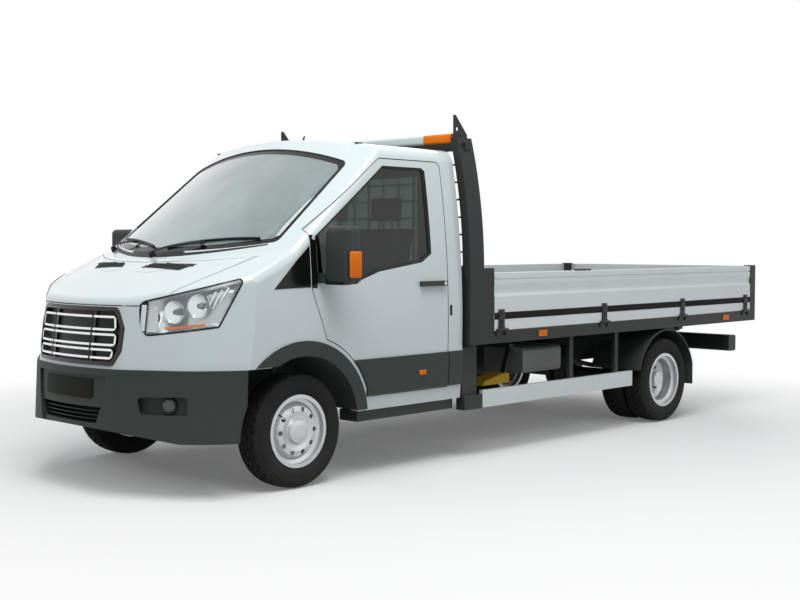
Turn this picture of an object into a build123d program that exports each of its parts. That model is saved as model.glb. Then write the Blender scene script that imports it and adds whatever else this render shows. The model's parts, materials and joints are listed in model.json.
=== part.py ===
"""Light tipping dropside truck with a single cab, twin rear wheels and a headboard frame.

Frame: +X forward, +Y to the left, +Z up, in mm, with the origin on the ground at mid-length and mid-width.
"""
import math
import os

from build123d import *

os.makedirs("parts", exist_ok=True)

# Layout along the vehicle
wheelbase = 3954.0
front_overhang = 1015.0
rear_overhang = 1500.0
length = front_overhang + wheelbase + rear_overhang
front_axle_x = length / 2 - front_overhang
rear_axle_x = front_axle_x - wheelbase
rear_end_x = rear_axle_x - rear_overhang

# Wheels
tyre_r = 344.0
tyre_w = 195.0
seat_r = 206.0
flange_r = 220.5
front_track_half = 870.0
rear_outer_y = 936.0
rear_inner_y = 706.0
kingpin_y = 720.0
stub_r = 24.0

# Cab
wall = 60.0
cab_back_x = front_axle_x - 1430.0
rear_panel_x = cab_back_x + 65.0
wing_cut_x = front_axle_x - 68.0
sill_z = 420.0
belt_z = 1200.0
roof_split_z = 2045.0
roof_z = 2165.0
belt_half = 1000.0
arch_r = 455.0
trim_r = 545.0
screen_slope = 37.8
screen_r = 2700.0
bonnet_slope = 24.5
bonnet_r = 5000.0
bonnet_low_z = 1112.0
nose_lean = 0.13
bumper_lean = 0.05
nose_shoulder = 450.0
shoulder_back = 70.0
nose_cheek = 760.0
cheek_back = 262.0
flank_start = 350.0
flank_bulge = 45.0
plan_half = 1060.0
shut_gap = 6.0

# Chassis and bed heights
rail_top_z = 660.0
subframe_top_z = 735.0
beam_low_z = 743.0
bearer_z = 800.0
floor_under_z = 840.0
floor_z = 863.0
side_top_z = 1268.0
bed_half = 1050.0
bed_front_x = front_axle_x - 1450.0
bed_rear_x = rear_end_x + 21.0
post_back_x = front_axle_x - 1712.0
rear_post_x = bed_rear_x + 92.0
side_t = 28.0

# Tipping hinge and ram
tip_x = front_axle_x - 5160.0
tip_z = 705.0
pin_r = 18.0
ram_x = front_axle_x - 3660.0
ram_y = 200.0
ram_base_z = 310.0
ram_eye_z = 775.0


def slab(x0, x1, y0, y1, z0, z1):
    """Box between two corners."""
    with BuildPart() as made:
        with Locations(((x0 + x1) / 2, (y0 + y1) / 2, (z0 + z1) / 2)):
            Box(x1 - x0, y1 - y0, z1 - z0)
    return made.part


def side_prism(points, y0, y1):
    """Straight-edged outline of the side view, carried across from y0 to y1."""
    with BuildPart() as made:
        with BuildSketch(Plane.XZ.offset(-y1)):
            with BuildLine():
                Polyline(*points, close=True)
            make_face()
        extrude(amount=y1 - y0)
    return made.part


def front_prism(points, x0, x1):
    """Straight-edged outline of the front view, carried along from x0 to x1."""
    with BuildPart() as made:
        with BuildSketch(Plane.YZ.offset(x0)):
            with BuildLine():
                Polyline(*points, close=True)
            make_face()
        extrude(amount=x1 - x0)
    return made.part


def rod_y(x, z, r, y0, y1):
    """Round bar across the vehicle."""
    with BuildPart() as made:
        with BuildSketch(Plane.XZ.offset(-y1)):
            with Locations((x, z)):
                Circle(r)
        extrude(amount=y1 - y0)
    return made.part


def rod_x(y, z, r, x0, x1):
    """Round bar along the vehicle."""
    with BuildPart() as made:
        with BuildSketch(Plane.YZ.offset(x0)):
            with Locations((y, z)):
                Circle(r)
        extrude(amount=x1 - x0)
    return made.part


def mirrored(part):
    """The same piece on the other side of the vehicle."""
    with BuildPart() as made:
        add(part)
        mirror(about=Plane.XZ, mode=Mode.REPLACE)
    return made.part


def slope_cutter(angle, x, z, radius, inset):
    """All that lies outside a wide crowned surface which rises to the rear at an angle through (x, z)."""
    a = math.radians(angle)
    along = Vector(-math.cos(a), 0, math.sin(a))
    inward = Vector(-math.sin(a), 0, -math.cos(a))
    start = Vector(x, 0, z) + inward * inset - along * 1500
    with BuildPart() as made:
        with BuildSketch(Plane(origin=start, x_dir=(0, 1, 0), z_dir=along)):
            with Locations((0, -600)):
                Rectangle(2800, 2800)
            with Locations((0, radius - inset)):
                Circle(radius - inset, mode=Mode.SUBTRACT)
        extrude(amount=4200)
    return made.part


screen_x = front_axle_x + 420.0
screen_z = 1370.0


def curved_edges(part, x0, x1, z0, z1, y_min):
    """Curved edges whose middle lies in a window, with x measured from the front axle."""
    found = []
    for edge in part.edges():
        middle = edge.center()
        inside = x0 < middle.X - front_axle_x < x1 and z0 < middle.Z < z1
        if inside and abs(middle.Y) >= y_min and edge.geom_type != GeomType.LINE:
            found.append(edge)
    return found


def body_form(inset, rounded=False, lean=nose_lean):
    """The cab's outer form moved in by inset: cross-section, plan, windscreen and bonnet surfaces."""
    i = inset
    screen = slope_cutter(screen_slope, screen_x, screen_z, screen_r, i)
    bonnet_top = slope_cutter(bonnet_slope, screen_x, screen_z, bonnet_r, i)
    with BuildPart() as ahead:
        add(screen)
        add(bonnet_top, mode=Mode.INTERSECT)
    nose_x = front_axle_x + 985 + lean * 700 - i
    side = belt_half - i
    roof = roof_z - i
    shoulder = nose_shoulder - i / 2
    cheek = nose_cheek - i
    cheek_x = nose_x - cheek_back + i / 3
    flank_x = front_axle_x + flank_start
    wide = plan_half
    turn = Vector(flank_x - cheek_x, wide - cheek)
    middle = Vector(flank_x + cheek_x, wide + cheek) / 2 + Vector(turn.Y, -turn.X) * (flank_bulge / turn.length)
    with BuildPart() as form:
        with BuildSketch(Plane.YZ.offset(cab_back_x + i)):
            with BuildLine():
                Line((25 - side, 330), (side - 25, 330))
                ThreePointArc((side - 25, 330), (side, belt_z), (side - 100, roof - 75))
                ThreePointArc((side - 100, roof - 75), (0, roof), (100 - side, roof - 75))
                ThreePointArc((100 - side, roof - 75), (-side, belt_z), (25 - side, 330))
            section = make_face()
            fillet(section.vertices().filter_by_position(Axis.Y, 1900, 2400), 110)
        extrude(amount=2700)
        with BuildSketch(Plane.XY):
            with BuildLine():
                Line((cab_back_x - 400, wide), (cab_back_x - 400, -wide))
                Line((cab_back_x - 400, -wide), (flank_x, -wide))
                ThreePointArc((flank_x, -wide), (middle.X, -middle.Y), (cheek_x, -cheek))
                Line((cheek_x, -cheek), (nose_x - shoulder_back, -shoulder))
                ThreePointArc((nose_x - shoulder_back, -shoulder), (nose_x, 0), (nose_x - shoulder_back, shoulder))
                Line((nose_x - shoulder_back, shoulder), (cheek_x, cheek))
                ThreePointArc((cheek_x, cheek), (middle.X, middle.Y), (flank_x, wide))
                Line((flank_x, wide), (cab_back_x - 400, wide))
            plan = make_face()
            fillet(plan.vertices().filter_by_position(Axis.X, nose_x - 300, nose_x), 200)
        extrude(amount=2400, dir=(-lean, 0, 1), mode=Mode.INTERSECT)
        add(ahead.part, mode=Mode.SUBTRACT)
        if rounded:
            flank = curved_edges(form.part, 100, 880, 1050, 1420, 500)
            lip = curved_edges(form.part, 880, 1000, 1000, 1200, 0)
            fillet(flank + lip, 70)
            fillet(curved_edges(form.part, -900, 50, 1500, 2200, 0), 60)
    return form.part


def minus(body, *cuts):
    """A piece with others cut out of it."""
    with BuildPart() as made:
        add(body)
        for cut in cuts:
            add(cut, mode=Mode.SUBTRACT)
    return made.part


def common(body, *others):
    """What a piece and all the others share."""
    with BuildPart() as made:
        add(body)
        for other in others:
            add(other, mode=Mode.INTERSECT)
    return made.part


def fx(d):
    """Position along the vehicle, given as a distance ahead of the front axle."""
    return front_axle_x + d


def fx_points(points):
    return [(fx(x), z) for x, z in points]


outer = body_form(0, rounded=True)
inner = body_form(wall)
skin_out = body_form(-12)
skin_in = body_form(12)
bumper_out = body_form(-12, lean=bumper_lean)
shell = minus(outer, inner)

# Wheel arches: room for the wheel, and the plan of what is cut from the panels
arch_room = rod_y(front_axle_x, tyre_r, arch_r + 16, 530, 1150)
arch_rooms = [arch_room, mirrored(arch_room)]


def door_outline(shrink):
    """The door's outline in side view, smaller all round by shrink."""
    ring = 571.0
    a0 = math.atan2(540, -186)
    a1 = math.atan2(216, -528.6)
    am = (a0 + a1) / 2
    hub = (front_axle_x, tyre_r)
    top = (hub[0] + ring * math.cos(a0), hub[1] + ring * math.sin(a0))
    mid = (hub[0] + ring * math.cos(am), hub[1] + ring * math.sin(am))
    low = (hub[0] + ring * math.cos(a1), hub[1] + ring * math.sin(a1))
    with BuildPart() as made:
        with BuildSketch(Plane.XZ.offset(-1200)):
            with BuildLine():
                Line((fx(-69), 1190), top)
                ThreePointArc(top, mid, low)
                Polyline(low, (low[0], 506), (fx(-1290), 506), (fx(-1290), 1985), (fx(-1255), 2015))
                Polyline((fx(-1255), 2015), (fx(-715), 2015), (fx(-69), 1552), (fx(-69), 1190))
            make_face()
            if shrink:
                offset(amount=-shrink, kind=Kind.INTERSECTION, mode=Mode.REPLACE)
        extrude(amount=700)
    return made.part


window_points = fx_points([
    (-112, 1228), (-480, 1240), (-640, 1290), (-1040, 1345), (-1135, 1400),
    (-1135, 1945), (-1105, 1965), (-742, 1965), (-112, 1512)])
window_room = side_prism(window_points, 500, 1200)
door_room = door_outline(0)
door_block = door_outline(shut_gap)

# Windscreen opening, drawn along the slope of the glass
slope = math.radians(screen_slope)
screen_plane = Plane(
    origin=(screen_x, 0, screen_z), x_dir=(0, 1, 0), z_dir=(math.sin(slope), 0, math.cos(slope)))
with BuildPart() as screen_room_block:
    with BuildSketch(screen_plane.offset(-260)):
        with BuildLine():
            ThreePointArc((-840, 350), (0, 75), (840, 350))
            Line((840, 350), (790, 1160))
            ThreePointArc((790, 1160), (0, 1195), (-790, 1160))
            Line((-790, 1160), (-840, 350))
        pane = make_face()
        fillet(pane.vertices(), 60)
    extrude(amount=400)
screen_room = screen_room_block.part

rear_window = slab(cab_back_x - 50, cab_back_x + 100, -640, 640, 1320, 1930)

# Bonnet panel in plan
with BuildPart() as bonnet_room_block:
    with BuildSketch(Plane.XY.offset(bonnet_low_z - shut_gap)):
        with BuildLine():
            ThreePointArc((fx(195), 835), (fx(455), 0), (fx(195), -835))
            Polyline((fx(195), -835), (fx(925), -600), (fx(1000), -560), (fx(1000), 560))
            Polyline((fx(1000), 560), (fx(925), 600), (fx(195), 835))
        make_face()
    extrude(amount=500)
bonnet_room = bonnet_room_block.part

# Headlamps, cut along a slanting direction through both corners of the nose
lamp_angle = math.radians(50)
lamp_plane = Plane(
    origin=(front_axle_x, 0, 0), x_dir=(-math.sin(lamp_angle), math.cos(lamp_angle), 0),
    z_dir=(math.cos(lamp_angle), math.sin(lamp_angle), 0))
lamp_points = [(-302, 1126), (306, 1270), (158, 992), (-292, 936)]
lamp_end_r = 58.0
lamp_tip_r = 16.0


def lamp_block(grow):
    """The left headlamp's outline carried through the corner of the nose, larger all round by grow."""
    with BuildPart() as made:
        with BuildSketch(lamp_plane.offset(700)) as lamp_sketch:
            with BuildLine():
                Polyline(*lamp_points, close=True)
            make_face()
            fillet(lamp_sketch.vertices().filter_by_position(Axis.X, 100, 400), lamp_tip_r)
            fillet(lamp_sketch.vertices().filter_by_position(Axis.X, -400, -200), lamp_end_r)
            if grow:
                offset(amount=grow, mode=Mode.REPLACE)
        extrude(amount=900)
    return made.part


lamp_room = lamp_block(0)
lamp_wide = lamp_block(shut_gap)
lamp_rooms = [lamp_room, mirrored(lamp_room)]

# Grille opening
grille_points = [(395, 1100), (450, 985), (446, 850), (395, 762)]
grille_r = 40.0


def grille_block(grow):
    """The grille's outline carried through the nose, larger all round by grow."""
    with BuildPart() as made:
        with BuildSketch(Plane.YZ.offset(fx(700))):
            with BuildLine():
                Polyline(*grille_points, *[(-y, z) for y, z in reversed(grille_points)], close=True)
            opening = make_face()
            fillet(opening.vertices(), grille_r)
            if grow:
                offset(amount=grow, mode=Mode.REPLACE)
        extrude(amount=400)
    return made.part


grille_room = grille_block(0)

# Fixed black corner panes ahead of the doors
corner_points = fx_points([(-62, 1206), (225, 1200), (60, 1352), (-62, 1455)])
corner_pane = common(minus(outer, skin_in), side_prism(corner_points, 600, 1200))
corner_panes = [corner_pane, mirrored(corner_pane)]

# Cab shell panels
with BuildPart() as cab_roof:
    add(shell)
    add(slab(rear_panel_x, fx(400), -1100, 1100, roof_split_z, 2300), mode=Mode.INTERSECT)
    add(screen_room, mode=Mode.SUBTRACT)

with BuildPart() as cab_rear_panel:
    add(outer)
    add(slab(cab_back_x - 10, rear_panel_x, -1100, 1100, sill_z, 2300), mode=Mode.INTERSECT)
    add(rear_window, mode=Mode.SUBTRACT)
    add(slab(cab_back_x - 20, rear_panel_x + 10, -880, 880, 300, 530), mode=Mode.SUBTRACT)

with BuildPart() as cab_side_left:
    add(shell)
    add(slab(rear_panel_x, wing_cut_x, 450, 1100, sill_z, roof_split_z), mode=Mode.INTERSECT)
    add(door_room, mode=Mode.SUBTRACT)
    add(screen_room, mode=Mode.SUBTRACT)
    add(arch_room, mode=Mode.SUBTRACT)

with BuildPart() as cab_side_right:
    add(mirrored(cab_side_left.part))

with BuildPart() as nose:
    add(shell)
    add(slab(wing_cut_x, fx(1100), -1100, 1100, 745, roof_split_z), mode=Mode.INTERSECT)
    add(screen_room, mode=Mode.SUBTRACT)
    add(bonnet_room, mode=Mode.SUBTRACT)
    add(grille_room, mode=Mode.SUBTRACT)
    for room in arch_rooms + lamp_rooms + corner_panes:
        add(room, mode=Mode.SUBTRACT)
    # rubber pads that the shut bonnet rests on
    for side in (1, -1):
        add(slab(fx(838), fx(862), 420 * side - 12, 420 * side + 12, bonnet_low_z - 14, bonnet_low_z - 0.3))

floor_points = fx_points([
    (-1365, 530), (-450, 530), (110, 860), (110, 1310), (60, 1310), (60, 890), (-465, 580), (-1365, 580)])
with BuildPart() as cab_floor:
    add(side_prism(floor_points, -1000, 1000))
    add(inner, mode=Mode.INTERSECT)
    for room in arch_rooms:
        add(room, mode=Mode.SUBTRACT)

# Bumper: rising lower edge, sunk middle panel with an air intake, a pocket for each fog lamp
bumper_points = fx_points([(430, 312), (680, 312), (1060, 420), (1060, 745), (430, 745)])
sunk_points = [(365, 705), (345, 560), (290, 398), (-290, 398), (-345, 560), (-365, 705)]
intake_points = [(322, 520), (285, 425), (-285, 425), (-322, 520)]
fog_points = [(-310, 590), (-20, 598), (-20, 490), (-290, 490)]
fog_depth = 40.0


def bumper_skin(depth):
    """The outer layer of the bumper, as deep as given."""
    return minus(body_form(-40, lean=bumper_lean), body_form(depth - 12, lean=bumper_lean))


with BuildPart() as fog_block:
    with BuildSketch(lamp_plane.offset(600)):
        with BuildLine():
            Polyline(*fog_points, close=True)
        fog_face = make_face()
        fillet(fog_face.vertices(), 20)
    extrude(amount=900)
fog_room = common(fog_block.part, bumper_skin(fog_depth))

with BuildPart() as front_bumper:
    add(bumper_out)
    add(body_form(85, lean=bumper_lean), mode=Mode.SUBTRACT)
    add(side_prism(bumper_points, -1100, 1100), mode=Mode.INTERSECT)
    for room in arch_rooms:
        add(room, mode=Mode.SUBTRACT)
    add(common(front_prism(sunk_points, fx(600), fx(1100)), bumper_skin(14)), mode=Mode.SUBTRACT)
    add(front_prism(intake_points, fx(850), fx(1100)), mode=Mode.SUBTRACT)
    add(fog_room, mode=Mode.SUBTRACT)
    add(mirrored(fog_room), mode=Mode.SUBTRACT)

# Bonnet with a shallow pocket for each air vent
vent_points = [(558, 95), (575, 215), (520, 345), (500, 330), (508, 110)]
vent_depth = 14.0
with BuildPart() as vent_block:
    with BuildSketch(Plane.XY.offset(1150)):
        with BuildLine():
            Polyline(*[(fx(d), y) for d, y in vent_points], close=True)
        vent_face = make_face()
        fillet(vent_face.vertices(), 8)
    extrude(amount=400)
vent_room = common(vent_block.part, minus(body_form(-20), body_form(vent_depth)))

with BuildPart() as bonnet:
    add(outer)
    add(body_form(32), mode=Mode.SUBTRACT)
    with BuildSketch(Plane.XY.offset(bonnet_low_z)):
        with BuildLine():
            # the rear corners are drawn in, because they swing forward between the wings as the bonnet opens
            ThreePointArc((fx(212), 816), (fx(463), 0), (fx(212), -816))
            Polyline((fx(212), -816), (fx(925), -593), (fx(1000), -553), (fx(1000), 553))
            Polyline((fx(1000), 553), (fx(925), 593), (fx(212), 816))
        make_face()
    extrude(amount=500, mode=Mode.INTERSECT)
    add(lamp_wide, mode=Mode.SUBTRACT)
    add(mirrored(lamp_wide), mode=Mode.SUBTRACT)
    add(vent_room, mode=Mode.SUBTRACT)
    add(mirrored(vent_room), mode=Mode.SUBTRACT)

with BuildPart() as headlamps:
    add(common(shell, lamp_room, slab(fx(300), fx(1100), 560, 1100, 900, 1400)))
    mirror(about=Plane.XZ)

# Grille: an outer frame and three bands, each a closed loop, on two upright carriers
grille_skin = minus(body_form(-6), body_form(26))
carrier_skin = minus(body_form(10), body_form(22))
grille_loops = [
    {"half_top": 388, "half_low": 402, "top": 1050, "low": 964},
    {"half_top": 404, "half_low": 404, "top": 948, "low": 876},
    {"half_top": 400, "half_low": 382, "top": 860, "low": 800},
]
loop_bar = 13.0
frame_bar = 22.0
carrier_y = 205.0
with BuildPart() as grille:
    for loop in grille_loops:
        with BuildSketch(Plane.YZ.offset(fx(700))):
            with BuildLine():
                Polyline(
                    (-loop["half_top"], loop["top"]), (loop["half_top"], loop["top"]),
                    (loop["half_low"], loop["low"]), (-loop["half_low"], loop["low"]), close=True)
            rim = make_face()
            fillet(rim.vertices(), 26)
            offset(rim, amount=-loop_bar, mode=Mode.SUBTRACT)
        extrude(amount=400)
    add(minus(grille_block(-2), grille_block(-2 - frame_bar)))
    add(grille_skin, mode=Mode.INTERSECT)
    add(common(slab(fx(700), fx(1100), carrier_y - 7, carrier_y + 7, 770, 1092), carrier_skin))
    # one half, mirrored, so that both sides have the same clean edges
    add(slab(fx(600), fx(1200), 0, 600, 700, 1200), mode=Mode.INTERSECT)
    mirror(about=Plane.XZ)

with BuildPart() as cab_glass:
    add(body_form(8))
    add(body_form(15), mode=Mode.SUBTRACT)
    add(screen_room, mode=Mode.INTERSECT)
    add(slab(cab_back_x + 8, cab_back_x + 14, -640, 640, 1320, 1930))

# Dark plastic on the cab: arch trims, liners, corner panes, steps, rear strips, panel behind the grille
arch_ring = minus(
    rod_y(front_axle_x, tyre_r, trim_r, 700, 1150), rod_y(front_axle_x, tyre_r, arch_r, 690, 1160),
    slab(fx(0), fx(700), 600, 1200, -300, 750), slab(fx(-700), fx(0), 600, 1200, -300, 430))
arch_trim = common(minus(skin_out, outer), arch_ring)
rear_strip = common(minus(skin_out, outer), slab(cab_back_x + 3, fx(-1294), 800, 1100, 515, 745))
step = slab(fx(-1380), fx(-480), 800, 960, 350, sill_z)
with BuildPart() as body_trim:
    for piece in (arch_trim, rear_strip, step, corner_pane):
        add(piece)
    mirror(about=Plane.XZ)
    add(common(minus(body_form(26), body_form(44)), grille_room))

liner_tube = minus(
    rod_y(front_axle_x, tyre_r, arch_r + 15, 540, 1100), rod_y(front_axle_x, tyre_r, arch_r, 530, 1110),
    slab(fx(-700), fx(700), 500, 1200, -300, 432), slab(fx(0), fx(700), 500, 1200, -300, 750))
with BuildPart() as arch_liners:
    add(common(liner_tube, body_form(3)))
    add(minus(
        rod_y(front_axle_x, tyre_r, arch_r + 15, 532, 540), slab(fx(-700), fx(700), 500, 1200, -300, 432)))
    mirror(about=Plane.XZ)

# Cab interior
dash_points = fx_points([
    (60, 895), (60, 1290), (-140, 1255), (-320, 1170), (-330, 1040), (-210, 930), (-210, 820), (-80, 820)])
with BuildPart() as dashboard:
    add(side_prism(dash_points, -925, 925))
    add(body_form(64), mode=Mode.INTERSECT)
    for room in arch_rooms:
        add(room, mode=Mode.SUBTRACT)
    with Locations(Location((fx(-450), 430, 1205), (0, -62, 0))):
        Torus(185, 15)
        Cylinder(32, 60)
        Box(18, 370, 22)
    with Locations(Location((fx(-360), 430, 1157), (0, -62, 0))):
        Cylinder(24, 200)

seat_table = [
    {"y": 430, "width": 500},
    {"y": -110, "width": 430},
    {"y": -560, "width": 430},
]
seat_points = fx_points([
    (-600, 1010), (-600, 900), (-660, 880), (-660, 580), (-1080, 580), (-1080, 860), (-1190, 870),
    (-1330, 1560), (-1310, 1790), (-1235, 1790), (-1240, 1590), (-1120, 1060), (-1060, 990), (-640, 1030)])
with BuildPart() as seats:
    for seat in seat_table:
        add(side_prism(seat_points, seat["y"] - seat["width"] / 2, seat["y"] + seat["width"] / 2))

# Doors: panel, glass and dark trim with the handle and mirror
door_skin = minus(outer, inner)
with BuildPart() as door_left:
    add(common(door_skin, door_block, slab(cab_back_x, fx(0), 500, 1200, 0, 2300)))
    add(window_room, mode=Mode.SUBTRACT)

with BuildPart() as door_glass_left:
    add(body_form(14))
    add(body_form(20), mode=Mode.SUBTRACT)
    add(window_room, mode=Mode.INTERSECT)

door_clad = common(minus(skin_out, outer), door_block, slab(cab_back_x, fx(0), 800, 1200, 515, 745))
handle = common(minus(body_form(-26), outer), slab(fx(-1254), fx(-1012), 800, 1200, 1188, 1222))
mirror_foot = common(slab(fx(-215), fx(-120), 900, 1085, 1232, 1290), minus(body_form(-200), outer))
with BuildPart() as mirror_head_block:
    with Locations((fx(-185), 1150, 1398)):
        Box(120, 210, 345)
    fillet(mirror_head_block.edges(), 34)
with BuildPart() as door_trim_left:
    add(door_clad)
    add(handle)
    add(mirror_head_block.part)
    add(mirror_foot)

with BuildPart() as door_right:
    add(mirrored(door_left.part))

with BuildPart() as door_glass_right:
    add(mirrored(door_glass_left.part))

with BuildPart() as door_trim_right:
    add(mirrored(door_trim_left.part))

# Wheels
def ring_profile(x, y, z, points, side):
    """Turned piece: outline of (distance out from the wheel's middle, radius) spun about the axle line."""
    with BuildPart() as made:
        with BuildSketch(Plane(origin=(x, y, z), x_dir=(0, side, 0), z_dir=(side, 0, 0))):
            with BuildLine():
                Polyline(*points, close=True)
            make_face()
        revolve(axis=Axis((x, y, z), (0, 1, 0)))
    return made.part


def tyre(x, y):
    """Plain tyre without tread."""
    half = tyre_w / 2
    with BuildPart() as made:
        with BuildSketch(Plane(origin=(x, y, tyre_r), x_dir=(0, 1, 0), z_dir=(1, 0, 0))):
            with BuildLine():
                Line((-76, seat_r + 1), (76, seat_r + 1))
                Line((76, seat_r + 1), (76, flange_r + 3))
                ThreePointArc((76, flange_r + 3), (half, 280), (half - 13, tyre_r - 17))
                ThreePointArc((half - 13, tyre_r - 17), (half - 20, tyre_r - 7), (half - 33, tyre_r - 3))
                ThreePointArc((half - 33, tyre_r - 3), (0, tyre_r), (33 - half, tyre_r - 3))
                ThreePointArc((33 - half, tyre_r - 3), (20 - half, tyre_r - 7), (13 - half, tyre_r - 17))
                ThreePointArc((13 - half, tyre_r - 17), (-half, 280), (-76, flange_r + 3))
                Line((-76, flange_r + 3), (-76, seat_r + 1))
            make_face()
        revolve(axis=Axis((x, y, tyre_r), (0, 1, 0)))
    return made.part


barrel_points = [
    (-86, flange_r), (-77, flange_r), (-77, seat_r), (-48, seat_r), (-38, 182), (38, 182), (48, seat_r),
    (77, seat_r), (77, flange_r), (86, flange_r), (86, 198), (52, 198), (42, 174), (-42, 174),
    (-52, 198), (-86, 198)]
front_disc_points = [
    (20, 178), (30, 178), (70, 150), (76, 120), (66, 92), (66, 82), (90, 70), (97, 40), (98, 0),
    (-60, 0), (-60, 48), (52, 48), (57, 92), (66, 120), (60, 146), (20, 172)]
rear_disc_points = [
    (-40, 178), (-30, 178), (-62, 150), (-106, 120), (-106, 66), (30, 62), (30, 0), (-115, 0),
    (-115, 124), (-72, 158)]
with BuildPart() as rim_front_left:
    add(ring_profile(front_axle_x, front_track_half, tyre_r, barrel_points, 1))
    add(ring_profile(front_axle_x, front_track_half, tyre_r, front_disc_points, 1))
    with BuildSketch(Plane(
            origin=(front_axle_x, front_track_half, tyre_r), x_dir=(1, 0, 0), z_dir=(0, 1, 0))):
        with PolarLocations(134, 10):
            Circle(15)
    extrude(amount=120, mode=Mode.SUBTRACT)
    add(rod_y(front_axle_x, tyre_r, stub_r + 0.05, 790, 920), mode=Mode.SUBTRACT)

with BuildPart() as rim_front_right:
    add(mirrored(rim_front_left.part))

with BuildPart() as rims_rear_left:
    for centre, side in ((rear_outer_y, 1), (rear_inner_y, -1)):
        add(ring_profile(rear_axle_x, centre, tyre_r, barrel_points, side))
        add(ring_profile(rear_axle_x, centre, tyre_r, rear_disc_points, side))
    with BuildSketch(Plane(
            origin=(rear_axle_x, rear_inner_y, tyre_r), x_dir=(1, 0, 0), z_dir=(0, 1, 0))):
        with PolarLocations(136, 10):
            Circle(15)
    extrude(amount=rear_outer_y - rear_inner_y, mode=Mode.SUBTRACT)
    add(rod_y(rear_axle_x, tyre_r, stub_r + 0.05, 660, 910), mode=Mode.SUBTRACT)

with BuildPart() as rims_rear_right:
    add(mirrored(rims_rear_left.part))

with BuildPart() as tyre_front_left:
    add(tyre(front_axle_x, front_track_half))

with BuildPart() as tyre_front_right:
    add(tyre(front_axle_x, -front_track_half))

with BuildPart() as tyres_rear_left:
    for centre in (rear_outer_y, rear_inner_y):
        add(tyre(rear_axle_x, centre))

with BuildPart() as tyres_rear_right:
    for centre in (rear_outer_y, rear_inner_y):
        add(tyre(rear_axle_x, -centre))

with BuildPart() as knuckle_left:
    add(rod_y(front_axle_x, tyre_r, 55, 698, 795))
    add(rod_y(front_axle_x, tyre_r, stub_r, 790, 910))
    with Locations((front_axle_x, kingpin_y, 539)):
        Cylinder(26, 482)
    with Locations((front_axle_x, kingpin_y, 310)):
        Cylinder(12.05, 60, mode=Mode.SUBTRACT)

with BuildPart() as knuckle_right:
    add(mirrored(knuckle_left.part))

# Chassis
rail_points = fx_points([
    (830, 420), (830, 540), (520, 540), (480, 530), (-1440, 530), (-1530, 660), (-5020, 660), (-5020, 500),
    (-1480, 480), (-1300, 400), (480, 400), (560, 420)])
with BuildPart() as chassis_rails:
    for side in (1, -1):
        add(side_prism(rail_points, 385 * side - 35, 385 * side + 35))

subframe_points = [
    (fx(-1540), rail_top_z), (fx(-1540), subframe_top_z), (tip_x + 40, subframe_top_z),
    (tip_x - 28, 714), (tip_x - 28, rail_top_z)]
with BuildPart() as subframe_rails:
    for side in (1, -1):
        add(side_prism(subframe_points, 385 * side - 35, 385 * side + 35))
        add(rod_y(tip_x, tip_z, pin_r, 385 * side - 62, 385 * side + 62))

cross_table = [
    {"x": 800, "depth": 80, "low": 430, "high": 530},
    {"x": -1560, "depth": 80, "low": 530, "high": 640},
    {"x": -2560, "depth": 80, "low": 530, "high": 640},
    {"x": -3490, "depth": 80, "low": 530, "high": 640},
    {"x": -4420, "depth": 80, "low": 530, "high": 640},
    {"x": -4960, "depth": 80, "low": 530, "high": 640},
]
with BuildPart() as cross_members:
    for row in cross_table:
        x0 = fx(row["x"] - row["depth"] / 2)
        add(slab(x0, x0 + row["depth"], -350, 350, row["low"], row["high"]))
    # ram cradle: two cheeks behind the middle cross-member
    cheek = [
        (fx(-3530), 640), (fx(-3530), 540), (ram_x + 45, ram_base_z - 20), (ram_x + 25, ram_base_z - 45),
        (ram_x - 25, ram_base_z - 45), (ram_x - 45, ram_base_z - 20), (ram_x - 45, ram_base_z + 30),
        (fx(-3560), 640)]
    for offset_y in (-98, 86):
        add(side_prism(cheek, ram_y + offset_y, ram_y + offset_y + 12))
    add(rod_y(ram_x, ram_base_z, 16.05, ram_y - 120, ram_y + 120), mode=Mode.SUBTRACT)

with BuildPart() as front_beam:
    add(slab(fx(-70), fx(70), -560, 560, 270, 400))
    add(slab(fx(-40), fx(40), -742, 742, 262, 284))
    for side in (1, -1):
        with Locations((front_axle_x, kingpin_y * side, 307)):
            Cylinder(12, 50)

axle_springs = []
for side in (1, -1):
    with BuildPart() as leaf:
        with BuildSketch(Plane.XZ.offset(-(520 * side + 32))):
            with BuildLine():
                ThreePointArc((rear_axle_x - 640, 520), (rear_axle_x, 412), (rear_axle_x + 640, 520))
                Line((rear_axle_x + 640, 520), (rear_axle_x + 640, 545))
                ThreePointArc((rear_axle_x + 640, 545), (rear_axle_x, 452), (rear_axle_x - 640, 545))
                Line((rear_axle_x - 640, 545), (rear_axle_x - 640, 520))
            make_face()
        extrude(amount=64)
    axle_springs.append(leaf.part)
with BuildPart() as rear_axle:
    add(rod_y(rear_axle_x, tyre_r, 52, -665, 665))
    add(rod_y(rear_axle_x, tyre_r, stub_r, -900, 900))
    add(rod_y(rear_axle_x, tyre_r, 150, -110, 110))
    fillet(rear_axle.edges().filter_by_position(Axis.Y, -120, 120), 30)
    for side in (1, -1):
        add(slab(rear_axle_x - 60, rear_axle_x + 60, 520 * side - 40, 520 * side + 40, 380, 425))
    for leaf_part in axle_springs:
        add(leaf_part)
    for side in (1, -1):
        for end in (-622, 622):
            x0 = rear_axle_x + end
            add(slab(x0 - 22, x0 + 22, 470 * side - 50, 470 * side + 50, 535, 640))

with BuildPart() as engine:
    add(slab(fx(190), fx(660), -300, 300, 500, 1040))
    add(slab(fx(380), fx(480), -350, 350, 490, 528))

with BuildPart() as driveline:
    add(side_prism(fx_points([(190, 405), (190, 600), (-80, 560), (-480, 510), (-480, 405)]), -150, 150))
    add(rod_x(0, 430, 25, rear_axle_x + 146, fx(-478)))

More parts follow.
